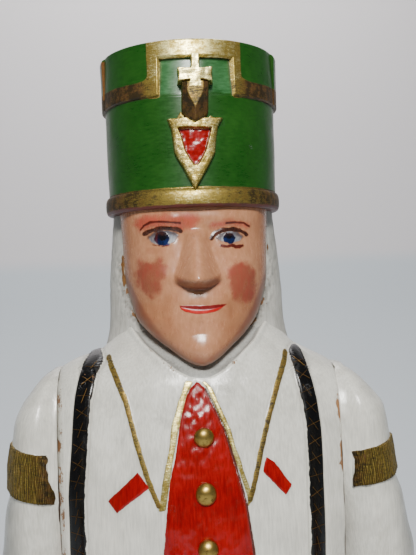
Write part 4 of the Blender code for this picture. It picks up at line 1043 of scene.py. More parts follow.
def makeCoat():
    z = np.concatenate([np.linspace(400, 420, 6), np.linspace(421, 583, 138), np.linspace(583.6, 602, 34)])
    rows = coatRows[:-2] + [
        (587, 55, 38, 35), (591, 51, 34, 28), (596, 47, 30, 18), (600, 43, 26.5, 8), (602, 38, 22, 2),
    ]
    turn, half, depth = coatShape(z, 420, rows)
    x = half * np.sin(turn)
    y = -depth * np.cos(turn)
    z = z[:, None] + 0 * x
    upper = z > coat["beltTop"]
    x = np.where(upper, np.clip(x, -coat["seamRight"], coat["seamLeft"]), x)
    flatX = x
    front = y < 0
    shape = np.stack([x, y, z], -1)
    vest = np.where(front, insideOf(x, z, coat["vest"]), -9)
    lapelHalf = coat["lapelHalf"] + 0.25 * rise(z, 555, 575)
    lapels = np.maximum.reduce([lapelHalf - lineDistance(x, z, line) for line in coat["lapels"]])
    vestGold = np.maximum.reduce([insideOf(x, z, line) for line in coat["vestGold"]])
    tabs = np.maximum.reduce([insideOf(x, z, line) for line in coat["tabs"]])
    straps = np.maximum(*(wide - lineDistance(x, z, line) for wide, line in zip(coat["strapHalf"], coat["straps"])))
    backStraps = coat["strapHalf"][0] - lineDistance(np.abs(x), z, [(48, 581), (54, 560), (57, 500), (56, 418)])
    straps = np.where(front, straps, backStraps)
    groove = np.where(front, lineDistance(x, z, coat["vestEdge"]), 9)
    lapels, vestGold, tabs = (np.where(front, v, -9) for v in (lapels, vestGold, tabs))
    gap = np.where(front, jawGap(x, z), 30)
    bevel = np.clip(1 - gap / 6.5, 0, 1) * rise(z, 572, 580)
    swell = 0.35 * unevenness(shape, 19, 41) + 0.12 * unevenness(shape * (1, 1, 0.35), 5, 42)
    swell = swell - 0.5 * rise(vest, -0.3, 0.9) - 1.1 * rise(vest, -0.2, 0.5) * rise(x, -3, 12)
    swell = swell - 0.5 * np.exp(-((groove / 0.8) ** 2))
    swell = (
        swell + 1.0 * rise(straps, -0.4, 0.5) + 0.35 * rise(straps, 0.3, 3)
        - 0.5 * np.exp(-(((straps + 0.7) / 0.6) ** 2))
    )
    swell = swell + 0.35 * rise(lapels, -0.5, 0.6) + 0.3 * rise(vestGold, -0.5, 0.6) + 0.5 * rise(tabs, -0.4, 0.6)
    chest = front * bump(x, z, 0, 548, 34, 30) * (1 - rise(vest, -1, 1)) * (1 - rise(straps, -2, 0))
    swell = swell + chest * (0.16 * unevenness(shape, 3.2, 48) + 0.08 * unevenness(shape, 1.7, 49))
    rough = unevenness(shape, 3.4, 43) + 0.6 * unevenness(shape, 1.9, 46)
    swell = swell + (0.2 + 0.14 * rise(z, 520, 545)) * rise(vest, 1.0, 2.5) * rough
    swell = (
        swell - (1.9 * rise(6.4 - gap, 0, 0.9) + 1.0 * bevel) * rise(z, 572, 580)
        + 0.8 * np.exp(-(((gap - 7.3) / 1.3) ** 2)) * rise(z, 574, 582)
    )
    rings = shape + faceNormals(shape) * swell[..., None]
    rings[..., 2] += shoulderLift(flatX, z)
    onSeam = upper & ((flatX > coat["seamLeft"] - 0.02) | (flatX < -coat["seamRight"] + 0.02))
    rings[..., 0] = np.where(onSeam, flatX, rings[..., 0])
    marks = edgeAndHollow(rings, 2, 1.5)
    marks.update(vest=vest, lapels=lapels, vestGold=vestGold, tabs=tabs, straps=straps)
    marks["tarnish"] = 0.04 + 0.62 * rise(lapels, -0.6, 0.4)
    # painted shadow: umber along the groove at the vest's edge
    marks["groove"] = np.where(z > 470, 0.5 - groove + 0.12 * unevenness(shape, 4, 47), -5)
    toSeam = np.minimum(coat["seamLeft"] - flatX, flatX + coat["seamRight"])
    ragged = 0.45 * unevenness(shape * (1, 1, 0.3), 3.5, 44) + 0.35 * unevenness(shape, 9, 45)
    marks["seam"] = np.where(upper, 0.28 - 0.8 * rise(z, 503, 545) - toSeam + ragged, -5)
    patch = (
        bump(flatX, z, 77, 525, 4, 9) + bump(flatX, z, 75, 552, 2, 7) + bump(flatX, z, -78, 538, 2.5, 4)
        + bump(flatX, z, -79, 512, 2, 12)
    )
    marks["bareSeam"] = np.where(
        front & upper, 2.2 * patch - 0.9 - toSeam * 0.3 + 0.8 * unevenness(shape, 2.6, 48), -5
    )
    marks["bevel"] = np.where(z > 572, 6.2 - gap, -5)
    dark = 0.7 * rise(1.8 - gap, 0, 1.5) * rise(z, 572, 580) * rise(unevenness(shape, 3, 49), -0.5, 0.5)
    marks["hollow"] = np.clip(marks["hollow"] + dark, 0, 1)
    piece = skin("coat", rings, marks)
    coats = [
        ("bevel", "shadedWhite", 0.5, 0.3, 1), ("vest", "red", 0.5, 0.15, 1), ("lapels", "bronze", 0.5, 0.15, 1),
        ("vestGold", "bronze", 0.5, 0.2, 1), ("groove", "umber", 0.3, 0.15, 1), ("tabs", "red", 0.45, 0.15, 1),
        ("straps", "black", 0.45, 0.12, 1), ("bareSeam", "rawWood", 0.9, 0.25, 1), ("seam", "crack", 0.25, 0.15, 1),
    ]
    finish(piece, whitePaint("coatPaint", coats, wear=0.22, cracks=0.45), "painted_wood", "figure")
    return piece


def makeSkirt():
    apronHalf, apronFoot, apronRise, straight = 56, 322, 2.8, 362
    skirtFoot, beltFoot, beltTop = coatRows[0][0], coat["beltFoot"], coat["beltTop"]
    beltMiddle = (beltFoot + beltTop) / 2
    below = [np.linspace(skirtFoot, skirtFoot + 1.5, 4), np.linspace(307.5, 398, 72)]
    z = np.concatenate(
        [*below, [398.7, 399, 399.4, 400.2], np.linspace(401.5, 418.5, 14), [419.8, 420.6, 421, 421.3]]
    )
    turn, half, depth = coatShape(z, 420)
    inset = np.where(z < skirtFoot + 1.5, -1.3 * (1 - (z - skirtFoot) / 1.5) ** 2, 0)[:, None]
    belt = (rise(z, 398.8, 400) * rise(-z, -421.1, -420))[:, None] * coat["beltRise"]
    deeper = coat["foldDepth"] * np.clip(beltFoot - z, 0, None) / (beltFoot - skirtFoot)
    fold = deeper[:, None] * (0.5 - 0.5 * np.cos(coat["folds"] * turn))
    grow = inset + belt - fold
    x = (half + grow) * np.sin(turn)
    y = -(depth + grow) * np.cos(turn)
    z = z[:, None] + 0 * x
    rings = np.stack([x, y, z], -1)
    behind = y > 0
    arc = [
        (apronHalf * math.cos(a), straight - (straight - apronFoot) * math.sin(a))
        for a in np.linspace(0, math.pi, 25)
    ]
    apron = np.where(behind, insideOf(x, z, arc + [(-apronHalf + 8, 406), (apronHalf - 8, 406)]), -9)
    opening = np.where(~behind, lineDistance(x, z, [(1.5, 398), (2, 306)]), 9)
    buckle = np.where(~behind, np.minimum(15 - np.abs(x), 11.2 - np.abs(z - beltMiddle)), -9)
    plate = np.where(~behind, np.minimum(11 - np.abs(x), 7.6 - np.abs(z - beltMiddle)), -9)
    swell = 0.3 * unevenness(rings, 17, 51) + 0.12 * unevenness(rings * (1, 1, 0.35), 5, 52)
    onBelt = (z > beltFoot) & (z < beltTop)
    swell = np.where(onBelt, swell * 0.4, swell)
    swell = swell + apronRise * rise(apron, -0.5, 0.6) * ~onBelt - 0.8 * np.exp(-((opening / 0.8) ** 2)) * ~onBelt
    swell = swell + 2.1 * rise(buckle, -0.4, 0.4) - 0.8 * rise(plate, -0.4, 0.4)
    rings = rings + faceNormals(rings) * swell[..., None]
    marks = edgeAndHollow(rings, 2, 1.3)
    marks["apron"] = apron
    marks["apronEdge"] = np.where(behind, 0.5 - np.abs(apron - 3.4), -9)
    marks["belt"] = np.minimum(z - beltFoot + 0.1, beltTop + 0.2 - z)
    marks["hem"] = np.where(apron < 0, 1.3 - np.abs(z - 311), -9)
    marks["opening"] = 1.0 - np.abs(opening - 3.6)
    marks["buckle"] = buckle
    marks["field"] = plate
    marks["tarnish"] = np.full(x.shape, 0.3)
    piece = skin("skirt", rings, marks)
    coats = [
        ("hem", "dullGold", 0.4, 0.15, 1), ("opening", "dullGold", 0.4, 0.15, 1), ("apron", "black", 0.3, 0.12, 1),
        ("apronEdge", "dullGold", 0.3, 0.15, 1), ("belt", "black", 0.2, 0.12, 1), ("buckle", "bronze", 0.2, 0.12, 1),
        ("field", "green", 0.2, 0.12, 1),
    ]
    finish(piece, whitePaint("skirtPaint", coats, wear=0.3, cracks=0.4), "painted_wood", "figure")


# The arms

armRows = [
    (444, 122, 98, 1, 25.8), (466, 121.5, 97, 0, 27.5), (481, 118.2, 95, -1, 28.8), (497, 115, 93, -2, 30),
    (512, 110.2, 91, -3, 31), (526, 108.8, 89.5, -3, 31.2), (537, 107.3, 88.5, -3, 31.2), (549, 105.2, 87, -3, 30),
    (558, 101.3, 85, -3, 27.5), (565, 95, 83, -2, 23), (570, 89, 81, -2, 17), (574, 82, 79, -2, 9),
]
forearmRows = [
    (-27, 103.5, 422.5, 18.2, 19.3), (-44, 106.5, 426, 16.8, 17.8), (-60, 109, 431, 15.5, 16.5),
    (-76, 111.5, 436, 15, 15.5),
]
arm = {
    "flat": {1: 75.5, -1: 78.5}, "lean": 0.096, "shift": 5.3, "fringe": {1: (508, 527.4), -1: (506.2, 532.4)},
    "fringeFrom": {1: 81.2, -1: 83.5}, "tilt": 0.17, "fringeRise": 1.7, "strand": 1.25, "pivot": (-27, 444),
    "cuff": 13, "cuffRise": 1.5, "fist": (112.5, -101, 444), "fistHalf": (15, 17.5, 19),
}


def armShift(side, z):
    return 0 * z if side > 0 else np.clip((520 - z) * arm["lean"], 0, arm["shift"])


def makeArm(side, word):
    flat, fringeFrom = arm["flat"][side], arm["fringeFrom"][side]
    shift = float(armShift(side, 430.0))  # the forearm and the fist move in as far as the elbow does
    pivotY, pivotZ = arm["pivot"]
    low, high = arm["fringe"][side]
    openPart = np.linspace(-1, 1, 217)
    innerPart = np.linspace(0, 1, 28)[1:-1]
    hair = 0.12
    rings, marks = [], {k: [] for k in ("fringe", "cuff", "cuffTrim", "skin", "seam", "tarnish", "strand")}

    def around(middle, wide):  # where the sleeve meets the glued side, and the angles all round it
        edge = math.acos(np.clip((flat - middle) / wide, -0.985, 1))
        return edge, np.concatenate([openPart * edge, edge + innerPart * (2 * math.pi - 2 * edge)])

    def addRing(x, y, z, **given):
        rings.append(np.stack([x, y + 0 * x, z + 0 * x], -1))
        for label, values in marks.items():
            values.append(given.get(label, -9.0) + 0 * x)

    stations = [z for z in np.linspace(574, pivotZ, 100) if min(abs(z - low), abs(z - high)) > 0.5]
    stations += [low - hair, low + hair, low + 0.6, high - 0.6, high - hair, high + hair]
    for z in sorted(stations, reverse=True):
        tilt = arm["tilt"] * float(rise(z, 478, 503) * rise(-z, -566, -540))
        outer = float(curveThrough(armRows, z + tilt * 27)[0]) - (1.9 * float(rise(z, 546, 560)) if side > 0 else 0.5)
        _, middle, centreY, deep = (float(v) for v in curveThrough(armRows, z))
        wide = max(outer - middle, 3)
        edge, angle = around(middle, wide)
        x = np.maximum(middle + wide * np.cos(angle), flat)
        y = centreY + deep * np.sin(angle)
        if low < z < high:
            strands = (
                0.16 * np.sin(math.tau * 30 * angle / math.pi) + 0.3 * np.sin(11 * angle + 2 * np.sin(3 * angle))
            )
            grow = (0.5 + 0.5 * (high - z) / (high - low)) * arm["fringeRise"] + strands
            grow = grow * rise(x, fringeFrom - 0.6, fringeFrom + 0.6)
            x = np.maximum(x + grow * np.cos(angle), flat)
            y = y + grow * np.sin(angle)
        # the sleeve meets the coat's own edge at the glued side
        coatHalf, coatFront, coatBack = (float(v) for v in curveThrough(coatRows, z))
        slot = math.sqrt(max(0.0, 1 - (flat / coatHalf) ** 2)) if coatHalf > flat else 0.03
        near = rise(flat + 13 - x, 0, 13) * float(rise(z, 474, 535)) * 0.9
        wanted = np.where(y < centreY, -coatFront * slot, coatBack * slot)
        limit = np.abs(np.sin(angle)) / max(math.sin(edge), 0.05)
        y = y + near * (wanted * np.clip(limit, 0, 1) - y) * (np.abs(y - centreY) > 0.5)
        height = z + tilt * (x - flat)
        x = np.maximum(x - armShift(side, z), flat)
        spot = np.stack([x, y, height], -1)
        start = (
            x - fringeFrom + 1.1 * unevenness(spot, 2.6, 67) + (3.2 * float(rise(520 - z, 0, 8)) if side < 0 else 0)
        )
        ragged = 0.45 * unevenness(spot * (1, 1, 0.3), 3.5, 44) + 0.35 * unevenness(spot, 9, 65)
        addRing(
            x, y, height + (shoulderLift(-x, height) if side < 0 else 0),
            fringe=np.minimum(min(high - z, z - low) + 0.25, start),
            strand=np.sign(np.sin(angle)) * np.abs(angle) * math.hypot(wide, deep) / 1.414 / arm["strand"],
            seam=0.25 - 0.8 * float(rise(z, 503, 545)) - (x - flat) + ragged,
            tarnish=0.42 + 0.45 * rise(fringeFrom + 9 - x, 0, 9),
        )
    # the elbow turns about a line in front of the arm
    upperMiddle, upperWide, upperCentre, upperDeep = 98.0, 24.0, 1.0, 25.8
    _, lowerMiddle, lowerCentre, lowerWide, lowerTall = forearmRows[0]
    for step in np.linspace(0, 1, 27)[1:-1]:
        lean = step * math.pi / 2
        share = float(rise(step, 0, 1))
        near = (upperCentre - upperDeep - pivotY) * (1 - share) + (pivotZ - lowerCentre - lowerTall) * share
        far = (upperCentre + upperDeep - pivotY) * (1 - share) + (pivotZ - lowerCentre + lowerTall) * share
        far += 5.5 * math.sin(2 * lean) ** 2
        middle = upperMiddle + (lowerMiddle - upperMiddle) * share
        wide = upperWide + (lowerWide - upperWide) * share
        edge, angle = around(middle, wide)
        reach = (near + far) / 2 + (far - near) / 2 * np.sin(angle)
        x = np.maximum(middle + wide * np.cos(angle) - shift, flat)
        addRing(x, pivotY + reach * math.cos(lean), pivotZ - reach * math.sin(lean), tarnish=0.45)
    end = forearmRows[-1][0]
    cuffStart = end + arm["cuff"]
    along = list(np.linspace(forearmRows[0][0], cuffStart + 0.5, 34)) + [cuffStart + 0.1, cuffStart - 0.1]
    along += list(np.linspace(cuffStart - 0.7, end + 0.8, 13)) + [end + 0.2, end]
    for y in along:
        middle, centreZ, wide, tall = (float(v) for v in curveThrough(forearmRows, y))
        middle -= shift
        grow = 0.0
        if y < cuffStart:
            grow = arm["cuffRise"] * float(rise(cuffStart - y, -0.1, 0.6)) - 0.5 * float(rise(end + 0.8 - y, 0, 0.8))
        edge, angle = around(middle, wide)
        trim = max(1.2 - abs(y - cuffStart + 1.4), 1.2 - abs(y - end - 1.6))
        x, z = middle + (wide + grow) * np.cos(angle), centreZ - (tall + grow) * np.sin(angle)
        addRing(x, y, z, tarnish=0.35, cuff=cuffStart - y, cuffTrim=trim)
    # the wrist comes out of the cuff
    fistX, fistY, fistZ = arm["fist"]
    fistX -= shift
    middle, centreZ = forearmRows[-1][1] - shift, forearmRows[-1][2]
    wrist = [(end + 0.1, 13.0), (end + 0.4, 11.4), (end - 0.4, 10.8)]
    for y, radius in wrist + [(v, 10.6) for v in np.linspace(end - 1.5, fistY + 8, 12)]:
        share = float(np.clip((end - y) / (end - fistY), 0, 1))
        x = middle + (fistX - middle) * share + radius * np.cos(angle)
        z = centreZ + (fistZ - 1 - centreZ) * share - radius * 1.05 * np.sin(angle)
        addRing(x, y, z, skin=9.0 if radius < 12 else -9.0)
    rings = np.array(rings)
    marks = {label: np.array(values) for label, values in marks.items()}
    loose = (rings[..., 0] > flat + 0.4)[..., None]
    swell = 0.3 * unevenness(rings, 15, 61 + side) + 0.1 * unevenness(rings, 4.5, 63)
    rings = rings + faceNormals(rings) * swell[..., None] * loose
    marks.update(edgeAndHollow(rings, 2, 1.5))
    rings[..., 0] *= side
    sleeve = skin(f"sleeve_{word}", rings, marks, flip=side > 0)
    hand = makeFist(side, word, marks.keys())
    piece = joined(f"arm_{word}_painted", [sleeve, hand])
    coats = [
        ("fringe", "bronze", 0.5, 0.2, 1), ("seam", "crack", 0.25, 0.15, 1), ("cuff", "red", 0.2, 0.12, 1),
        ("cuffTrim", "bronze", 0.2, 0.12, 1), ("skin", "skin", 0.2, 0.12, 1),
    ]
    material = whitePaint(f"armPaint_{word}", coats, wear=0.24, cracks=0.45, strands="fringe")
    finish(piece, material, "painted_wood", f"arm_{word}")


def makeFist(side, word, labels):
    centreX, centreY, centreZ = arm["fist"]
    centreX -= float(armShift(side, 430.0))
    halfX, halfY, halfZ = arm["fistHalf"]
    level = np.concatenate([[-1, -0.995, -0.985, -0.965], np.linspace(-0.94, 0.94, 72), [0.965, 0.985, 0.995, 1]])
    turn = np.linspace(-math.pi, math.pi, 97)[:-1]
    share = (level + 1) / 2 * 4
    within = share - np.floor(np.clip(share, 0, 3.999))
    finger = np.sqrt(np.clip(1 - (2 * within - 1) ** 2, 0, 1))
    endRound = np.sqrt(np.clip(1 - np.clip((np.abs(level) - 0.72) / 0.28, 0, 1) ** 2, 0, 1))
    front = rise(np.cos(turn), -0.35, 0.1)
    tips = rise(-np.sin(turn), 0.55, 0.8) * rise(np.cos(turn), -0.2, 0.4)
    cut = 1.9 * (1 - finger[:, None]) * front + (1 - endRound[:, None]) * 5.5 - 0.7 * tips * finger[:, None]
    knuckle = (0.9 * bump(turn, 0, 0.75, 0, 0.35, 1) + 0.5 * bump(turn, 0, 1.9, 0, 0.3, 1))[None] * finger[:, None]
    x = centreX + (halfX - cut + knuckle) * squared(np.sin(turn), 2.7)
    y = centreY - (halfY - cut + knuckle) * squared(np.cos(turn), 2.7)
    z = centreZ + halfZ * level[:, None] + 0 * x
    rings = np.stack([x, y, z], -1)
    rings = rings + faceNormals(rings) * (0.25 * unevenness(rings, 6, 71))[..., None]
    marks = {label: np.full(x.shape, -9.0) for label in labels}
    marks.update({"skin": np.full(x.shape, 9.0), "tarnish": np.zeros(x.shape)})
    marks.update(edgeAndHollow(rings, 2, 1.3))
    rings[..., 0] *= side
    palm = skin(f"palm_{word}", rings, marks, flip=side < 0)
    # the thumb lies over the fingertips
    path = np.array([(-9, 12, 8), (-13, 2, 14), (-12, -8, 16), (-7, -17, 14.5)]) + (centreX, centreY, centreZ)
    t = np.linspace(0, 1, 40)
    line = np.stack([np.interp(t, np.linspace(0, 1, 4), path[:, k]) for k in range(3)], -1)
    for _ in range(6):
        line[1:-1] = (line[:-2] + line[1:-1] * 2 + line[2:]) / 4
    tip = np.clip((t - 0.86) / 0.14, 0, 1)
    thick = 5.2 * np.sqrt(np.clip(1 - tip**2, 0.002, 1)) * np.sqrt(np.clip(t / 0.1, 0.05, 1))
    thick = thick + 0.4 * np.exp(-(((t - 0.62) / 0.1) ** 2))
    ahead = np.gradient(line, axis=0)
    ahead /= np.linalg.norm(ahead, axis=1, keepdims=True)
    sideways = np.cross(ahead, (0, 0, 1))
    sideways /= np.linalg.norm(sideways, axis=1, keepdims=True)
    upward = np.cross(sideways, ahead)
    angle = np.linspace(0, 2 * math.pi, 37)[:-1]
    around = sideways[:, None] * np.cos(angle)[None, :, None] + 0.9 * upward[:, None] * np.sin(angle)[None, :, None]
    rings = line[:, None] + thick[:, None, None] * around
    marks = {label: np.full(rings.shape[:2], -9.0) for label in labels}
    marks.update({"skin": np.full(rings.shape[:2], 9.0), "tarnish": np.zeros(rings.shape[:2])})
    marks.update(edgeAndHollow(rings, 2, 1.0))
    rings[..., 0] *= side
    thumb = skin(f"thumb_{word}", rings, marks, flip=side < 0)
    return joined(f"fist_{word}", [palm, thumb])


# Legs and boots

legRows = [
    (20, 36, 5, 17, 19), (60, 35, 5, 18, 20), (100, 34.5, 6, 21, 24), (140, 34, 6, 24, 28), (170, 34, 2, 22, 25),
    (205, 34, -2, 25, 29), (250, 34, 0, 28.5, 36), (312, 36, 2, 33, 44),
]
footRows = [
    (28, 12, 30), (22, 18, 40), (0, 19.5, 44), (-20, 20, 40), (-42, 22, 29), (-60, 20, 22), (-72, 13, 17),
    (-77, 5, 10),
]
legs = {"bootTop": 128, "bootRise": 1.6, "knee": 203, "kneeHalf": 19, "kneeRise": 2.6, "footTurn": 9}


def makeLeg(side, word):
    bootTop = legs["bootTop"]
    z = np.concatenate(
        [
            np.linspace(14, bootTop - 1, 68), [bootTop - 0.2, bootTop, bootTop + 0.3], np.linspace(129.5, 182, 36),
            [183.6, 184, 184.4], np.linspace(186, 220, 24), [221.6, 222, 222.4], np.linspace(224, 312, 46),
        ]
    )
    middleX, middleY, wide, deep = (v[:, None] for v in curveThrough(legRows, z))
    turn = np.linspace(-math.pi, math.pi, 101)[:-1]
    height = z[:, None] + 0 * turn
    boot = (
        legs["bootRise"] * rise(-height, -bootTop - 0.2, -bootTop + 0.3)
        + 0.9 * rise(1.2 - np.abs(height - 125.5) / 2.2, 0, 0.8)
    )
    padArea = np.minimum(math.acos(0.3) - np.abs(turn), (legs["kneeHalf"] - np.abs(height - legs["knee"])) / 25) * 25
    pad = legs["kneeRise"] * rise(padArea, -0.2, 1.2) + 0.6 * rise(padArea, 2, 10)
    wrinkles = (
        0.55 * np.sin(height / 4.2 + 1.5 * np.sin(turn * 2 + 1)) * rise(-height, -104, -92) * rise(height, 48, 60)
        * (0.6 + 0.4 * np.cos(turn * 2))
    )
    grow = boot + pad + wrinkles
    x = middleX + (wide + grow) * np.sin(turn)
    y = middleY - (deep + grow) * np.cos(turn)
    rings = np.stack([x, y, height], -1)
    swell = 0.3 * unevenness(rings, 14, 81 + side) + 0.1 * unevenness(rings * (1, 1, 0.4), 5, 83)
    rings = rings + faceNormals(rings) * swell[..., None]
    marks = {
        "boot": bootTop + 0.1 - height, "pad": padArea, "padTrim": 0.7 - np.abs(padArea - 2.6),
        "welt": np.full(x.shape, -9.0),
    }
    marks.update(edgeAndHollow(rings, 2, 1.4))
    rings[..., 0] *= side
    shank = skin(f"shank_{word}", rings, marks, flip=side < 0)
    along = np.concatenate([[28, 27.6, 26.8], np.linspace(25.5, -75, 92), [-76.2, -76.8, -77]])
    half, tall = (v[:, None] for v in curveThrough(footRows, along))
    half[0], half[1], half[2] = 6, 9.5, 12
    half[-1], half[-2], half[-3] = 2.5, 4, 5.4
    angle = np.linspace(0, 2 * math.pi, 97)[:-1]
    across = half * squared(np.cos(angle), 2.6)
    lift = np.maximum(0.0, tall * (0.4 + 0.6 * squared(np.sin(angle), 2.6)))
    sole = 0.9 * rise(6.5 - lift, 0, 0.8)
    heel = 0.7 * rise(along[:, None], 2, 3.4) * rise(6.5 - lift, 0, 0.8)
    across = across + np.sign(across) * (sole + heel) * (np.abs(across) > 1)
    turnOut = math.radians(legs["footTurn"])
    x = 36 + across * math.cos(turnOut) - along[:, None] * math.sin(turnOut)
    y = 5 + along[:, None] * math.cos(turnOut) + across * math.sin(turnOut)
    rings = np.stack([x, y, lift + 0 * x], -1)
    marks = {
        "boot": np.full(x.shape, 9.0), "pad": np.full(x.shape, -9.0), "padTrim": np.full(x.shape, -9.0),
        "welt": 0.5 - np.abs(lift - 6.6),
    }
    marks.update(edgeAndHollow(rings, 2, 1.0))
    rings[..., 0] *= side
    foot = skin(f"foot_{word}", rings, marks, flip=side > 0)
    piece = joined(f"leg_{word}_painted", [shank, foot])
    coats = [
        ("pad", "black", 0.3, 0.12, 1), ("padTrim", "dullGold", 0.3, 0.15, 1), ("boot", "black", 0.2, 0.12, 1),
        ("welt", "brow", 0.3, 0.15, 1),
    ]
    finish(piece, whitePaint(f"legPaint_{word}", coats, wear=0.3, cracks=0.4), "painted_wood", "figure")


# Turned pieces: profiles of radius and height in millimetres

def turnedSkin(name, profile, centre, columns, wobble=0.0, seed=0, axis=None):
    points = []
    for (r0, z0), (r1, z1) in zip(profile, profile[1:]):
        length = math.hypot(r1 - r0, z1 - z0)
        steps = max(1, min(14, round(length / 0.9)))
        points += [(r0 + (r1 - r0) * t / steps, z0 + (z1 - z0) * t / steps) for t in range(steps)]
    points.append(profile[-1])
    radius, height = (np.array(v)[:, None] for v in zip(*points))
    turn = np.linspace(0, 2 * math.pi, columns + 1)[:-1]
    rings = np.stack([radius * np.cos(turn), radius * np.sin(turn), height + 0 * turn], -1)
    if wobble:
        rings = rings + faceNormals(rings) * (wobble * unevenness(rings, 3.5, seed))[..., None]
    marks = edgeAndHollow(rings, 1, 4.0)
    rings = rings / (unit * 1000)
    if axis is not None:
        rings = rings @ np.array(axis.to_matrix().transposed())
    rings = rings + np.array([centre[0], centre[1], centre[2] - soleHeight]) / unit
    return skin(name, rings, marks)


def metal(name, colour, dark, roughness, wear):
    material, tree, shader = newMaterial(name)
    position = objectSpot(tree)
    worn = {"Edge": markOf(tree, "edge"), "Hollow": markOf(tree, "hollow"), "Wear": wear}
    aged = useGroup(tree, "ageing", Position=position, **worn)
    cloud = noise(tree, position, 0.5, 5.0, 0.7)
    stain = calc(tree, "MAXIMUM", smoothStep(tree, cloud, 0.5, 0.72), aged["Dirt"])
    rough = calc(tree, "MULTIPLY_ADD", stain, 0.3, roughness)
    tone = mixColour(tree, stain, tint(*colour), tint(*dark))
    dress(tree, shader, tone, rough, calc(tree, "MULTIPLY", cloud, 0.06))
    shader.inputs["Metallic"].default_value = 1.0
    return material


def plastic(name, colour, other, roughness):
    material, tree, shader = newMaterial(name)
    brush = useGroup(tree, "brushwork", Position=objectSpot(tree), Stretch=(0.4, 0.4, 0.15))
    tone = mixColour(tree, smoothStep(tree, brush["Tone"], 0.3, 0.7), tint(*colour), tint(*other))
    rough = calc(tree, "MULTIPLY_ADD", brush["Tone"], 0.16, roughness - 0.08)
    dress(tree, shader, tone, rough, calc(tree, "MULTIPLY", brush["Height"], 0.03))
    return material


def glassLike(name):
    material, _, shader = newMaterial(name)
    glass = {"Base Color": (0.97, 0.98, 0.98, 1), "Roughness": 0.02, "Transmission Weight": 1.0, "IOR": 1.45}
    for socket, value in glass.items():
        shader.inputs[socket].default_value = value
    return material


def makeButtons():
    nail = {"radius": 5.3, "rise": 3.8, "lumps": (0.1, 0.17, 0.08, 0.1, 0.08), "oval": 2, "ovalTall": 1.14}
    brass = metal("brassNail", (168, 142, 78), (70, 54, 28), 0.34, 0.2)
    for number in range(1, 6):
        low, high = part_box(f"button_{number}")
        z = (low[2] + high[2]) / 2
        x = (low[0] + high[0]) / 2
        height = (z - soleHeight) / unit
        front = [float(curveThrough(coatRows, height + d)[1]) for d in (-4, 4)]
        facing = Vector((0, -1, (front[1] - front[0]) / 8)).normalized()
        radius, up = nail["radius"], nail["rise"]
        profile = [(radius * 0.5, -0.9), (radius * 0.9, -0.9), (radius * 0.985, -0.3), (radius, 0.2)]
        profile += [(radius * math.cos(a), 0.2 + (up - 0.2) * math.sin(a)) for a in np.linspace(0.12, 1.52, 14)]
        centre = Vector((x, -(front[0] + front[1]) / 2 * unit, z)) + facing * 0.0003
        piece = turnedSkin(
            f"nail_{number}", profile, centre, 48, nail["lumps"][number - 1], 90 + number,
            facing.to_track_quat("Z", "Y")
        )
        if number == nail["oval"]:
            for vertex in piece.data.vertices:
                vertex.co.z = z + (vertex.co.z - z) * nail["ovalTall"]
        finish(piece, brass, "brass", f"button_{number}")


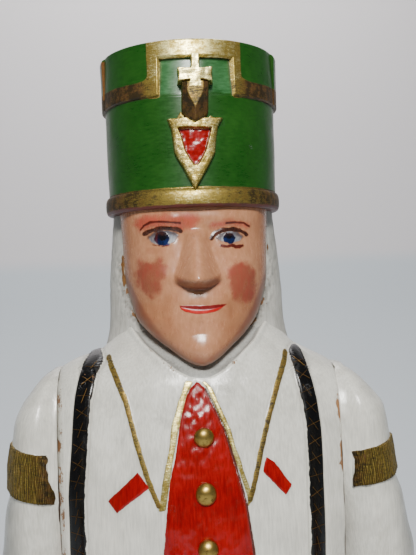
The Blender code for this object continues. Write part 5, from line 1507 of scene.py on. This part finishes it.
def makeLight(word, glass, brass, sleevePaint, holderPaint, wire):
    low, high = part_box(f"candle_holder_{word}")
    x, y = (low[0] + high[0]) / 2, (low[1] + high[1]) / 2
    foot, top = low[2], high[2]
    tall = (top - foot) * 1000

    def z(fromTop):
        return tall - fromTop

    holder = [
        (0.6, 0.0), (4.2, 0.1), (5.4, 0.6), (7.6, 2.6), (8.9, 5.2), (8.6, 7.4), (6.9, 9.2), (5.6, 10.2), (5.9, 11.2),
        (6.0, 12.2), (6.0, 55), (6.3, 56), (7.6, z(21)), (8.2, z(19.6)), (10.2, z(18.4)), (14.5, z(16.2)),
        (18.2, z(13.4)), (18.95, z(12.6)), (18.95, z(10.4)), (18.2, z(10)), (17.2, z(10.2)), (16.2, z(11.6)),
        (12.6, z(13.9)), (11.2, z(13.4)), (10.4, z(12)), (10.1, z(9)), (9.7, z(5)), (10.0, z(3)), (10.5, z(2)),
        (10.5, z(0.6)), (10.1, z(0)), (8.2, z(0)), (7.8, z(0.3)), (7.8, z(9.6)), (7.2, z(10)), (0.6, z(10)),
    ]
    piece = turnedSkin(f"holder_{word}", holder, (x, y, foot), 88, 0.06, 7)
    height = (np.array([v.co.z for v in piece.data.vertices]) - foot) * 1000
    rims = [half - np.abs(height - middle) for half, middle in ((1.5, z(11.5)), (1.1, z(1.2)), (1.6, 5.6))]
    setMark(piece.data, "rims", np.maximum.reduce(rims))
    setMark(piece.data, "tarnish", np.full(len(height), 0.25))
    finish(piece, holderPaint, "turned_wood", f"candle_holder_{word}")
    low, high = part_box(f"candle_{word}")
    long = (high[2] - low[2]) * 1000
    sleeve = [
        (0.6, 0), (7.2, 0), (7.5, 0.4), (7.5, long - 1.6), (7.3, long - 0.7), (6.7, long), (5.6, long),
        (5.15, long - 0.4), (5.15, long - 6.6), (4.8, long - 7), (0.6, long - 7),
    ]
    piece = turnedSkin(f"sleeve_tube_{word}", sleeve, (x, y, low[2]), 64, 0.05, 9)
    finish(piece, sleevePaint, "candle_sleeve", f"candle_{word}")
    low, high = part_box(f"bulb_cap_{word}")
    long = (high[2] - low[2]) * 1000
    cap = [(0.5, 0), (1.6, 0.05), (2.2, 0.5), (2.4, 1.2), (3.9, 2.0)]
    threads = 4
    for v in np.linspace(2.2, long - 2.2, 41):
        cap.append((4.45 + 0.3 * math.cos((v - 2.2) / (long - 4.4) * 2 * math.pi * threads + math.pi), v))
    cap += [(4.75, long - 1.7), (4.75, long - 0.3), (4.4, long), (0.5, long)]
    finish(turnedSkin(f"screw_cap_{word}", cap, (x, y, low[2]), 56), brass, "brass", f"bulb_cap_{word}")
    low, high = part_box(f"bulb_{word}")
    long, wide = (high[2] - low[2]) * 1000, (high[0] - low[0]) * 500
    shape = [
        (0, 0.5), (0.1, 0.66), (0.24, 0.92), (0.38, 1), (0.54, 0.93), (0.72, 0.66), (0.88, 0.33), (0.96, 0.16),
        (1, 0.03),
    ]
    share = np.linspace(0, 1, 40)
    outer = [(float(curveThrough(shape, s)[0]) * wide, s * long) for s in share]
    inner = [(max(r - 0.55, 0.25), min(max(h, 0.8), long - 1.6)) for r, h in outer[::-1]]
    shell = turnedSkin(f"bulb_shell_{word}", outer, (x, y, low[2]), 56)
    hollow = turnedSkin(f"bulb_inside_{word}", inner[::-1], (x, y, low[2]), 56)
    hollow.data.flip_normals()
    finish(joined(f"bulb_glass_{word}", [shell, hollow]), glass, "bulb_glass", f"bulb_{word}")
    # two posts, and the coiled filament over their tops
    bm = bmesh.new()
    posts = [[(s * 1.5, 0, 0.9), (s * 1.5, 0, 6), (s * 2.3, 0, 12), (s * 2.3, 0, 15)] for s in (-1, 1)]
    turns = [(t, t * 2 * math.pi * 22) for t in np.linspace(0, 1, 300)]
    coil = [
        (-2.3 + 4.6 * t, 0.28 * math.sin(a), 15 + 1.6 * math.sin(math.pi * t) + 0.28 * math.cos(a)) for t, a in turns
    ]
    for line, thick, sides in ((posts[0], 0.2, 8), (posts[1], 0.2, 8), (coil, 0.06, 4)):
        tube(bm, line, thick, sides)
    mesh = meshOf(f"filament_{word}", bm)
    mesh.transform(Matrix.Translation((x, y, low[2])) @ Matrix.Scale(0.001, 4))
    mesh.shade_smooth()
    finish(pieceOf(f"filament_{word}", mesh), wire, "brass")


def tube(bm, line, thick, sides):
    line = [Vector(p) for p in line]
    turns = [math.tau * j / sides for j in range(sides)]
    rings = []
    for k, point in enumerate(line):
        ahead = (line[min(k + 1, len(line) - 1)] - line[max(k - 1, 0)]).normalized()
        across = ahead.cross(Vector((0, 1, 0.01))).normalized()
        other = ahead.cross(across)
        spots = [point + thick * (across * math.cos(a) + other * math.sin(a)) for a in turns]
        rings.append([bm.verts.new(spot) for spot in spots])
    for near, far in zip(rings, rings[1:]):
        for j in range(sides):
            bm.faces.new((near[j], far[j], far[(j + 1) % sides], near[(j + 1) % sides]))
    bm.faces.new(rings[0])
    bm.faces.new(rings[-1][::-1])


def makeBase():
    plinth = {"chamfer": 0.004, "grid": 0.0022, "dent": 0.0002}
    low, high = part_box("base")
    bm = bmesh.new()
    bmesh.ops.create_cube(bm, size=1)
    for vertex in bm.verts:
        for axis in range(3):
            vertex.co[axis] = low[axis] if vertex.co[axis] < 0 else high[axis]
    upper = [e for e in bm.edges if all(v.co.z > 0.02 for v in e.verts)]
    upright = [e for e in bm.edges if abs(e.verts[0].co.z - e.verts[1].co.z) > 0.01]
    bmesh.ops.bevel(bm, geom=upper + upright, offset=plinth["chamfer"], segments=4, profile=0.5, affect="EDGES")
    bmesh.ops.triangulate(bm, faces=bm.faces)
    piece = pieceOf("plinth", meshOf("plinth", bm))
    remesh = piece.modifiers.new("evenGrid", "REMESH")
    remesh.mode = "VOXEL"
    remesh.voxel_size = plinth["grid"]
    bpy.context.view_layer.update()
    fine = bpy.data.meshes.new_from_object(piece.evaluated_get(bpy.context.evaluated_depsgraph_get()))
    piece.modifiers.clear()
    piece.data = fine
    spot = np.empty(len(fine.vertices) * 3, np.float32)
    fine.vertices.foreach_get("co", spot)
    spot = spot.reshape(-1, 3).astype(float)
    inside = [np.minimum(spot[:, a] - low[a], high[a] - spot[:, a]) for a in range(3)]
    toEdge = np.sort(np.stack(inside, 1), axis=1)[:, 1] * 1000
    grain = unevenness(spot * 1000 * (0.15, 1, 1), 7, 95) * 0.1 + unevenness(spot * 1000, 16, 96) * 0.12
    inward = np.clip(-grain * 0.001 + plinth["dent"], 0, None)
    spot[:, 2] -= inward * (spot[:, 2] > (low[2] + high[2]) / 2 + 0.01)
    fine.vertices.foreach_set("co", spot.astype(np.float32).reshape(-1))
    setMark(fine, "edge", np.clip(1.05 - toEdge / 4.5, 0, 1))
    # darker towards the bottom of the plinth
    setMark(fine, "hollow", np.clip(1 - (spot[:, 2] * 1000) / 5, 0, 1) * 0.5)
    fine.shade_smooth()
    material = paintedWood("plinthPaint", "green", (), (0.1, 0.9, 0.9), wear=0.42, grime=0.6, cracks=0.3, relief=0.1)
    finish(piece, material, "green_painted_wood", "base")


def makeBushing():
    low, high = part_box("cable_bushing")
    middle = Vector(((low[0] + high[0]) / 2, high[1], (low[2] + high[2]) / 2))
    profile = [
        (1.85, -11), (4.4, -11), (4.5, -10.6), (4.5, -2.4), (7, -2.4), (7, -1.1), (6.7, -0.4), (5.9, -0.02),
        (3.2, -0.02), (2.4, -0.3), (1.85, -1.2),
    ]
    axis = Vector((0, 1, 0)).to_track_quat("Z", "Y")
    sides = 48
    turn = np.linspace(0, math.tau, sides + 1)[:-1]
    rings = [(r * math.cos(a), r * math.sin(a), h) for r, h in profile for a in turn]
    bm = bmesh.new()
    verts = [bm.verts.new(axis @ (Vector(p) * 0.001) + middle) for p in rings]
    for i in range(len(profile)):
        for k in range(sides):
            a, b, beside = i * sides, (i + 1) % len(profile) * sides, (k + 1) % sides
            bm.faces.new((verts[a + k], verts[a + beside], verts[b + beside], verts[b + k]))
    bmesh.ops.recalc_face_normals(bm, faces=bm.faces)
    mesh = meshOf("cord_outlet", bm)
    mesh.shade_smooth()
    mesh.set_sharp_from_angle(angle=math.radians(40))
    material = plastic("blackPlastic", (22, 22, 23), (40, 39, 38), 0.42)
    finish(pieceOf("cord_outlet", mesh), material, "black_plastic", "cable_bushing")


# Gold threads painted in crosses down the shoulder straps, laid out by Geometry Nodes along each strap

def strapCrosses(coatPiece):
    crosses = {"spacing": 8.6, "reach": 3.3, "width": 0.25, "lift": 0.03, "turn": 0.35, "seed": 4}
    surface = BVHTree.FromObject(coatPiece, bpy.context.evaluated_depsgraph_get())
    tree = bpy.data.node_groups.new("threadCrosses", "GeometryNodeTree")
    tree.interface.new_socket("Geometry", in_out="INPUT", socket_type="NodeSocketGeometry")
    for label, kind, value in (
        ("Spacing", "NodeSocketFloat", 0.008), ("Seed", "NodeSocketInt", 1), ("Turn", "NodeSocketFloat", 0.35)
    ):
        tree.interface.new_socket(label, in_out="INPUT", socket_type=kind).default_value = value
    tree.interface.new_socket("Cross", in_out="INPUT", socket_type="NodeSocketObject")
    tree.interface.new_socket("Thread", in_out="INPUT", socket_type="NodeSocketMaterial")
    tree.interface.new_socket("Geometry", in_out="OUTPUT", socket_type="NodeSocketGeometry")
    source = add(tree, "NodeGroupInput").outputs
    curve = add(tree, "GeometryNodeMeshToCurve", {0: source["Geometry"]}).outputs[0]
    even = add(
        tree, "GeometryNodeResampleCurve", {"Curve": curve, "Length": source["Spacing"]}, mode="LENGTH"
    ).outputs[0]
    facing = add(tree, "GeometryNodeInputNamedAttribute", {"Name": "facing"}, data_type="FLOAT_VECTOR").outputs[0]
    upright = add(tree, "FunctionNodeAlignRotationToVector", {"Vector": facing}, axis="Z").outputs[0]
    tangent = add(tree, "GeometryNodeInputTangent").outputs[0]
    laid = add(
        tree, "FunctionNodeAlignRotationToVector", {"Rotation": upright, "Vector": tangent}, axis="Y", pivot_axis="Z"
    ).outputs[0]
    points = add(tree, "GeometryNodeCurveToPoints", {"Curve": even}, mode="EVALUATED").outputs["Points"]
    sway = add(tree, "FunctionNodeRandomValue", {"Seed": source["Seed"]}, data_type="FLOAT")
    sway.inputs[2].default_value, sway.inputs[3].default_value = -1.0, 1.0
    amount = calc(tree, "MULTIPLY", sway.outputs[1], source["Turn"])
    twist = add(tree, "ShaderNodeCombineXYZ", {2: amount}).outputs[0]
    turned = add(tree, "FunctionNodeRotateRotation", {0: laid, 1: twist}, rotation_space="LOCAL").outputs[0]
    cross = add(tree, "GeometryNodeObjectInfo", {"Object": source["Cross"]}).outputs["Geometry"]
    placed = add(
        tree, "GeometryNodeInstanceOnPoints", {"Points": points, "Instance": cross, "Rotation": turned}
    ).outputs[0]
    real = add(tree, "GeometryNodeRealizeInstances", {0: placed}).outputs[0]
    painted = add(tree, "GeometryNodeSetMaterial", {"Geometry": real, "Material": source["Thread"]}).outputs[0]
    tree.links.new(painted, add(tree, "NodeGroupOutput").inputs[0])
    thread = metal("goldThread", (112, 84, 44), (52, 40, 24), 0.45, 0.1)
    bm = bmesh.new()
    reach, width = crosses["reach"] * unit, crosses["width"] * unit
    for sign in (-1, 1):
        tube(bm, [(-reach * t, sign * reach * 0.75 * t, 0.0) for t in (-1, -0.3, 0.3, 1)], width / 2, 6)
    cross = bpy.data.objects.new("threadCross", meshOf("threadCross", bm))
    for number, (line, word) in enumerate(zip(coat["straps"], ("right", "left"))):
        t = np.linspace(0.02, 0.97, 60)
        lengths = np.concatenate([[0], np.cumsum([math.dist(a, b) for a, b in zip(line, line[1:])])])
        x = np.interp(t * lengths[-1], lengths, [p[0] for p in line])
        z = np.interp(t * lengths[-1], lengths, [p[1] for p in line])
        path, normals = [], []
        for spot in toWorld(np.stack([x, 0 * x - 120, z], -1)):
            hit, normal, _, _ = surface.ray_cast(Vector(spot), Vector((0, 1, 0)))
            path.append(hit + normal * crosses["lift"] * unit)
            normals.append(normal)
        normals = [sum(normals[max(0, k - 2):k + 3], Vector()).normalized() for k in range(len(normals))]
        mesh = bpy.data.meshes.new(f"strapPath_{word}")
        mesh.from_pydata(path, [(k, k + 1) for k in range(len(path) - 1)], [])
        mesh.attributes.new("facing", "FLOAT_VECTOR", "POINT").data.foreach_set(
            "vector", np.array(normals, np.float32).reshape(-1)
        )
        guide = pieceOf(f"strapPath_{word}", mesh)
        layer = guide.modifiers.new("crosses", "NODES")
        layer.node_group = tree
        sockets = {item.name: item.identifier for item in tree.interface.items_tree if item.in_out == "INPUT"}
        layer[sockets["Spacing"]] = crosses["spacing"] * unit
        layer[sockets["Seed"]] = crosses["seed"] + number
        layer[sockets["Turn"]] = crosses["turn"]
        layer[sockets["Cross"]] = cross
        layer[sockets["Thread"]] = thread
        bpy.context.view_layer.update()
        made = bpy.data.meshes.new_from_object(guide.evaluated_get(bpy.context.evaluated_depsgraph_get()))
        bpy.data.objects.remove(guide)
        finish(pieceOf(f"strap_threads_{word}", made), thread, "gilt_wood")
    bpy.data.objects.remove(cross)


makeCamera()
makeStudio()
print("studio ready")
makeHat()
makeBadge()
print("hat ready")
makeFace()
makeHood()
print("head ready")
coatPiece = makeCoat()
makeSkirt()
strapCrosses(coatPiece)
makeButtons()
print("coat ready")
for side, word in ((1, "left"), (-1, "right")):
    makeArm(side, word)
    makeLeg(side, word)
print("arms and legs ready")
clearGlass = glassLike("bulbGlass")
capBrass = metal("capBrass", (206, 170, 96), (132, 96, 46), 0.26, 0.1)
filamentWire = metal("filamentWire", (150, 148, 146), (90, 88, 86), 0.35, 0.1)
sleevePaint = plastic("candleSleeve", (232, 224, 198), (218, 208, 178), 0.4)
holderPaint = paintedWood(
    "holderPaint", "red", [("rims", "bronze", 0.1, 0.12, 1)], (0.3, 0.3, 1.2), wear=0.2, grime=0.4, cracks=0
)
for word in ("left", "right"):
    makeLight(word, clearGlass, capBrass, sleevePaint, holderPaint, filamentWire)
makeBase()
makeBushing()
print("lights and base ready")
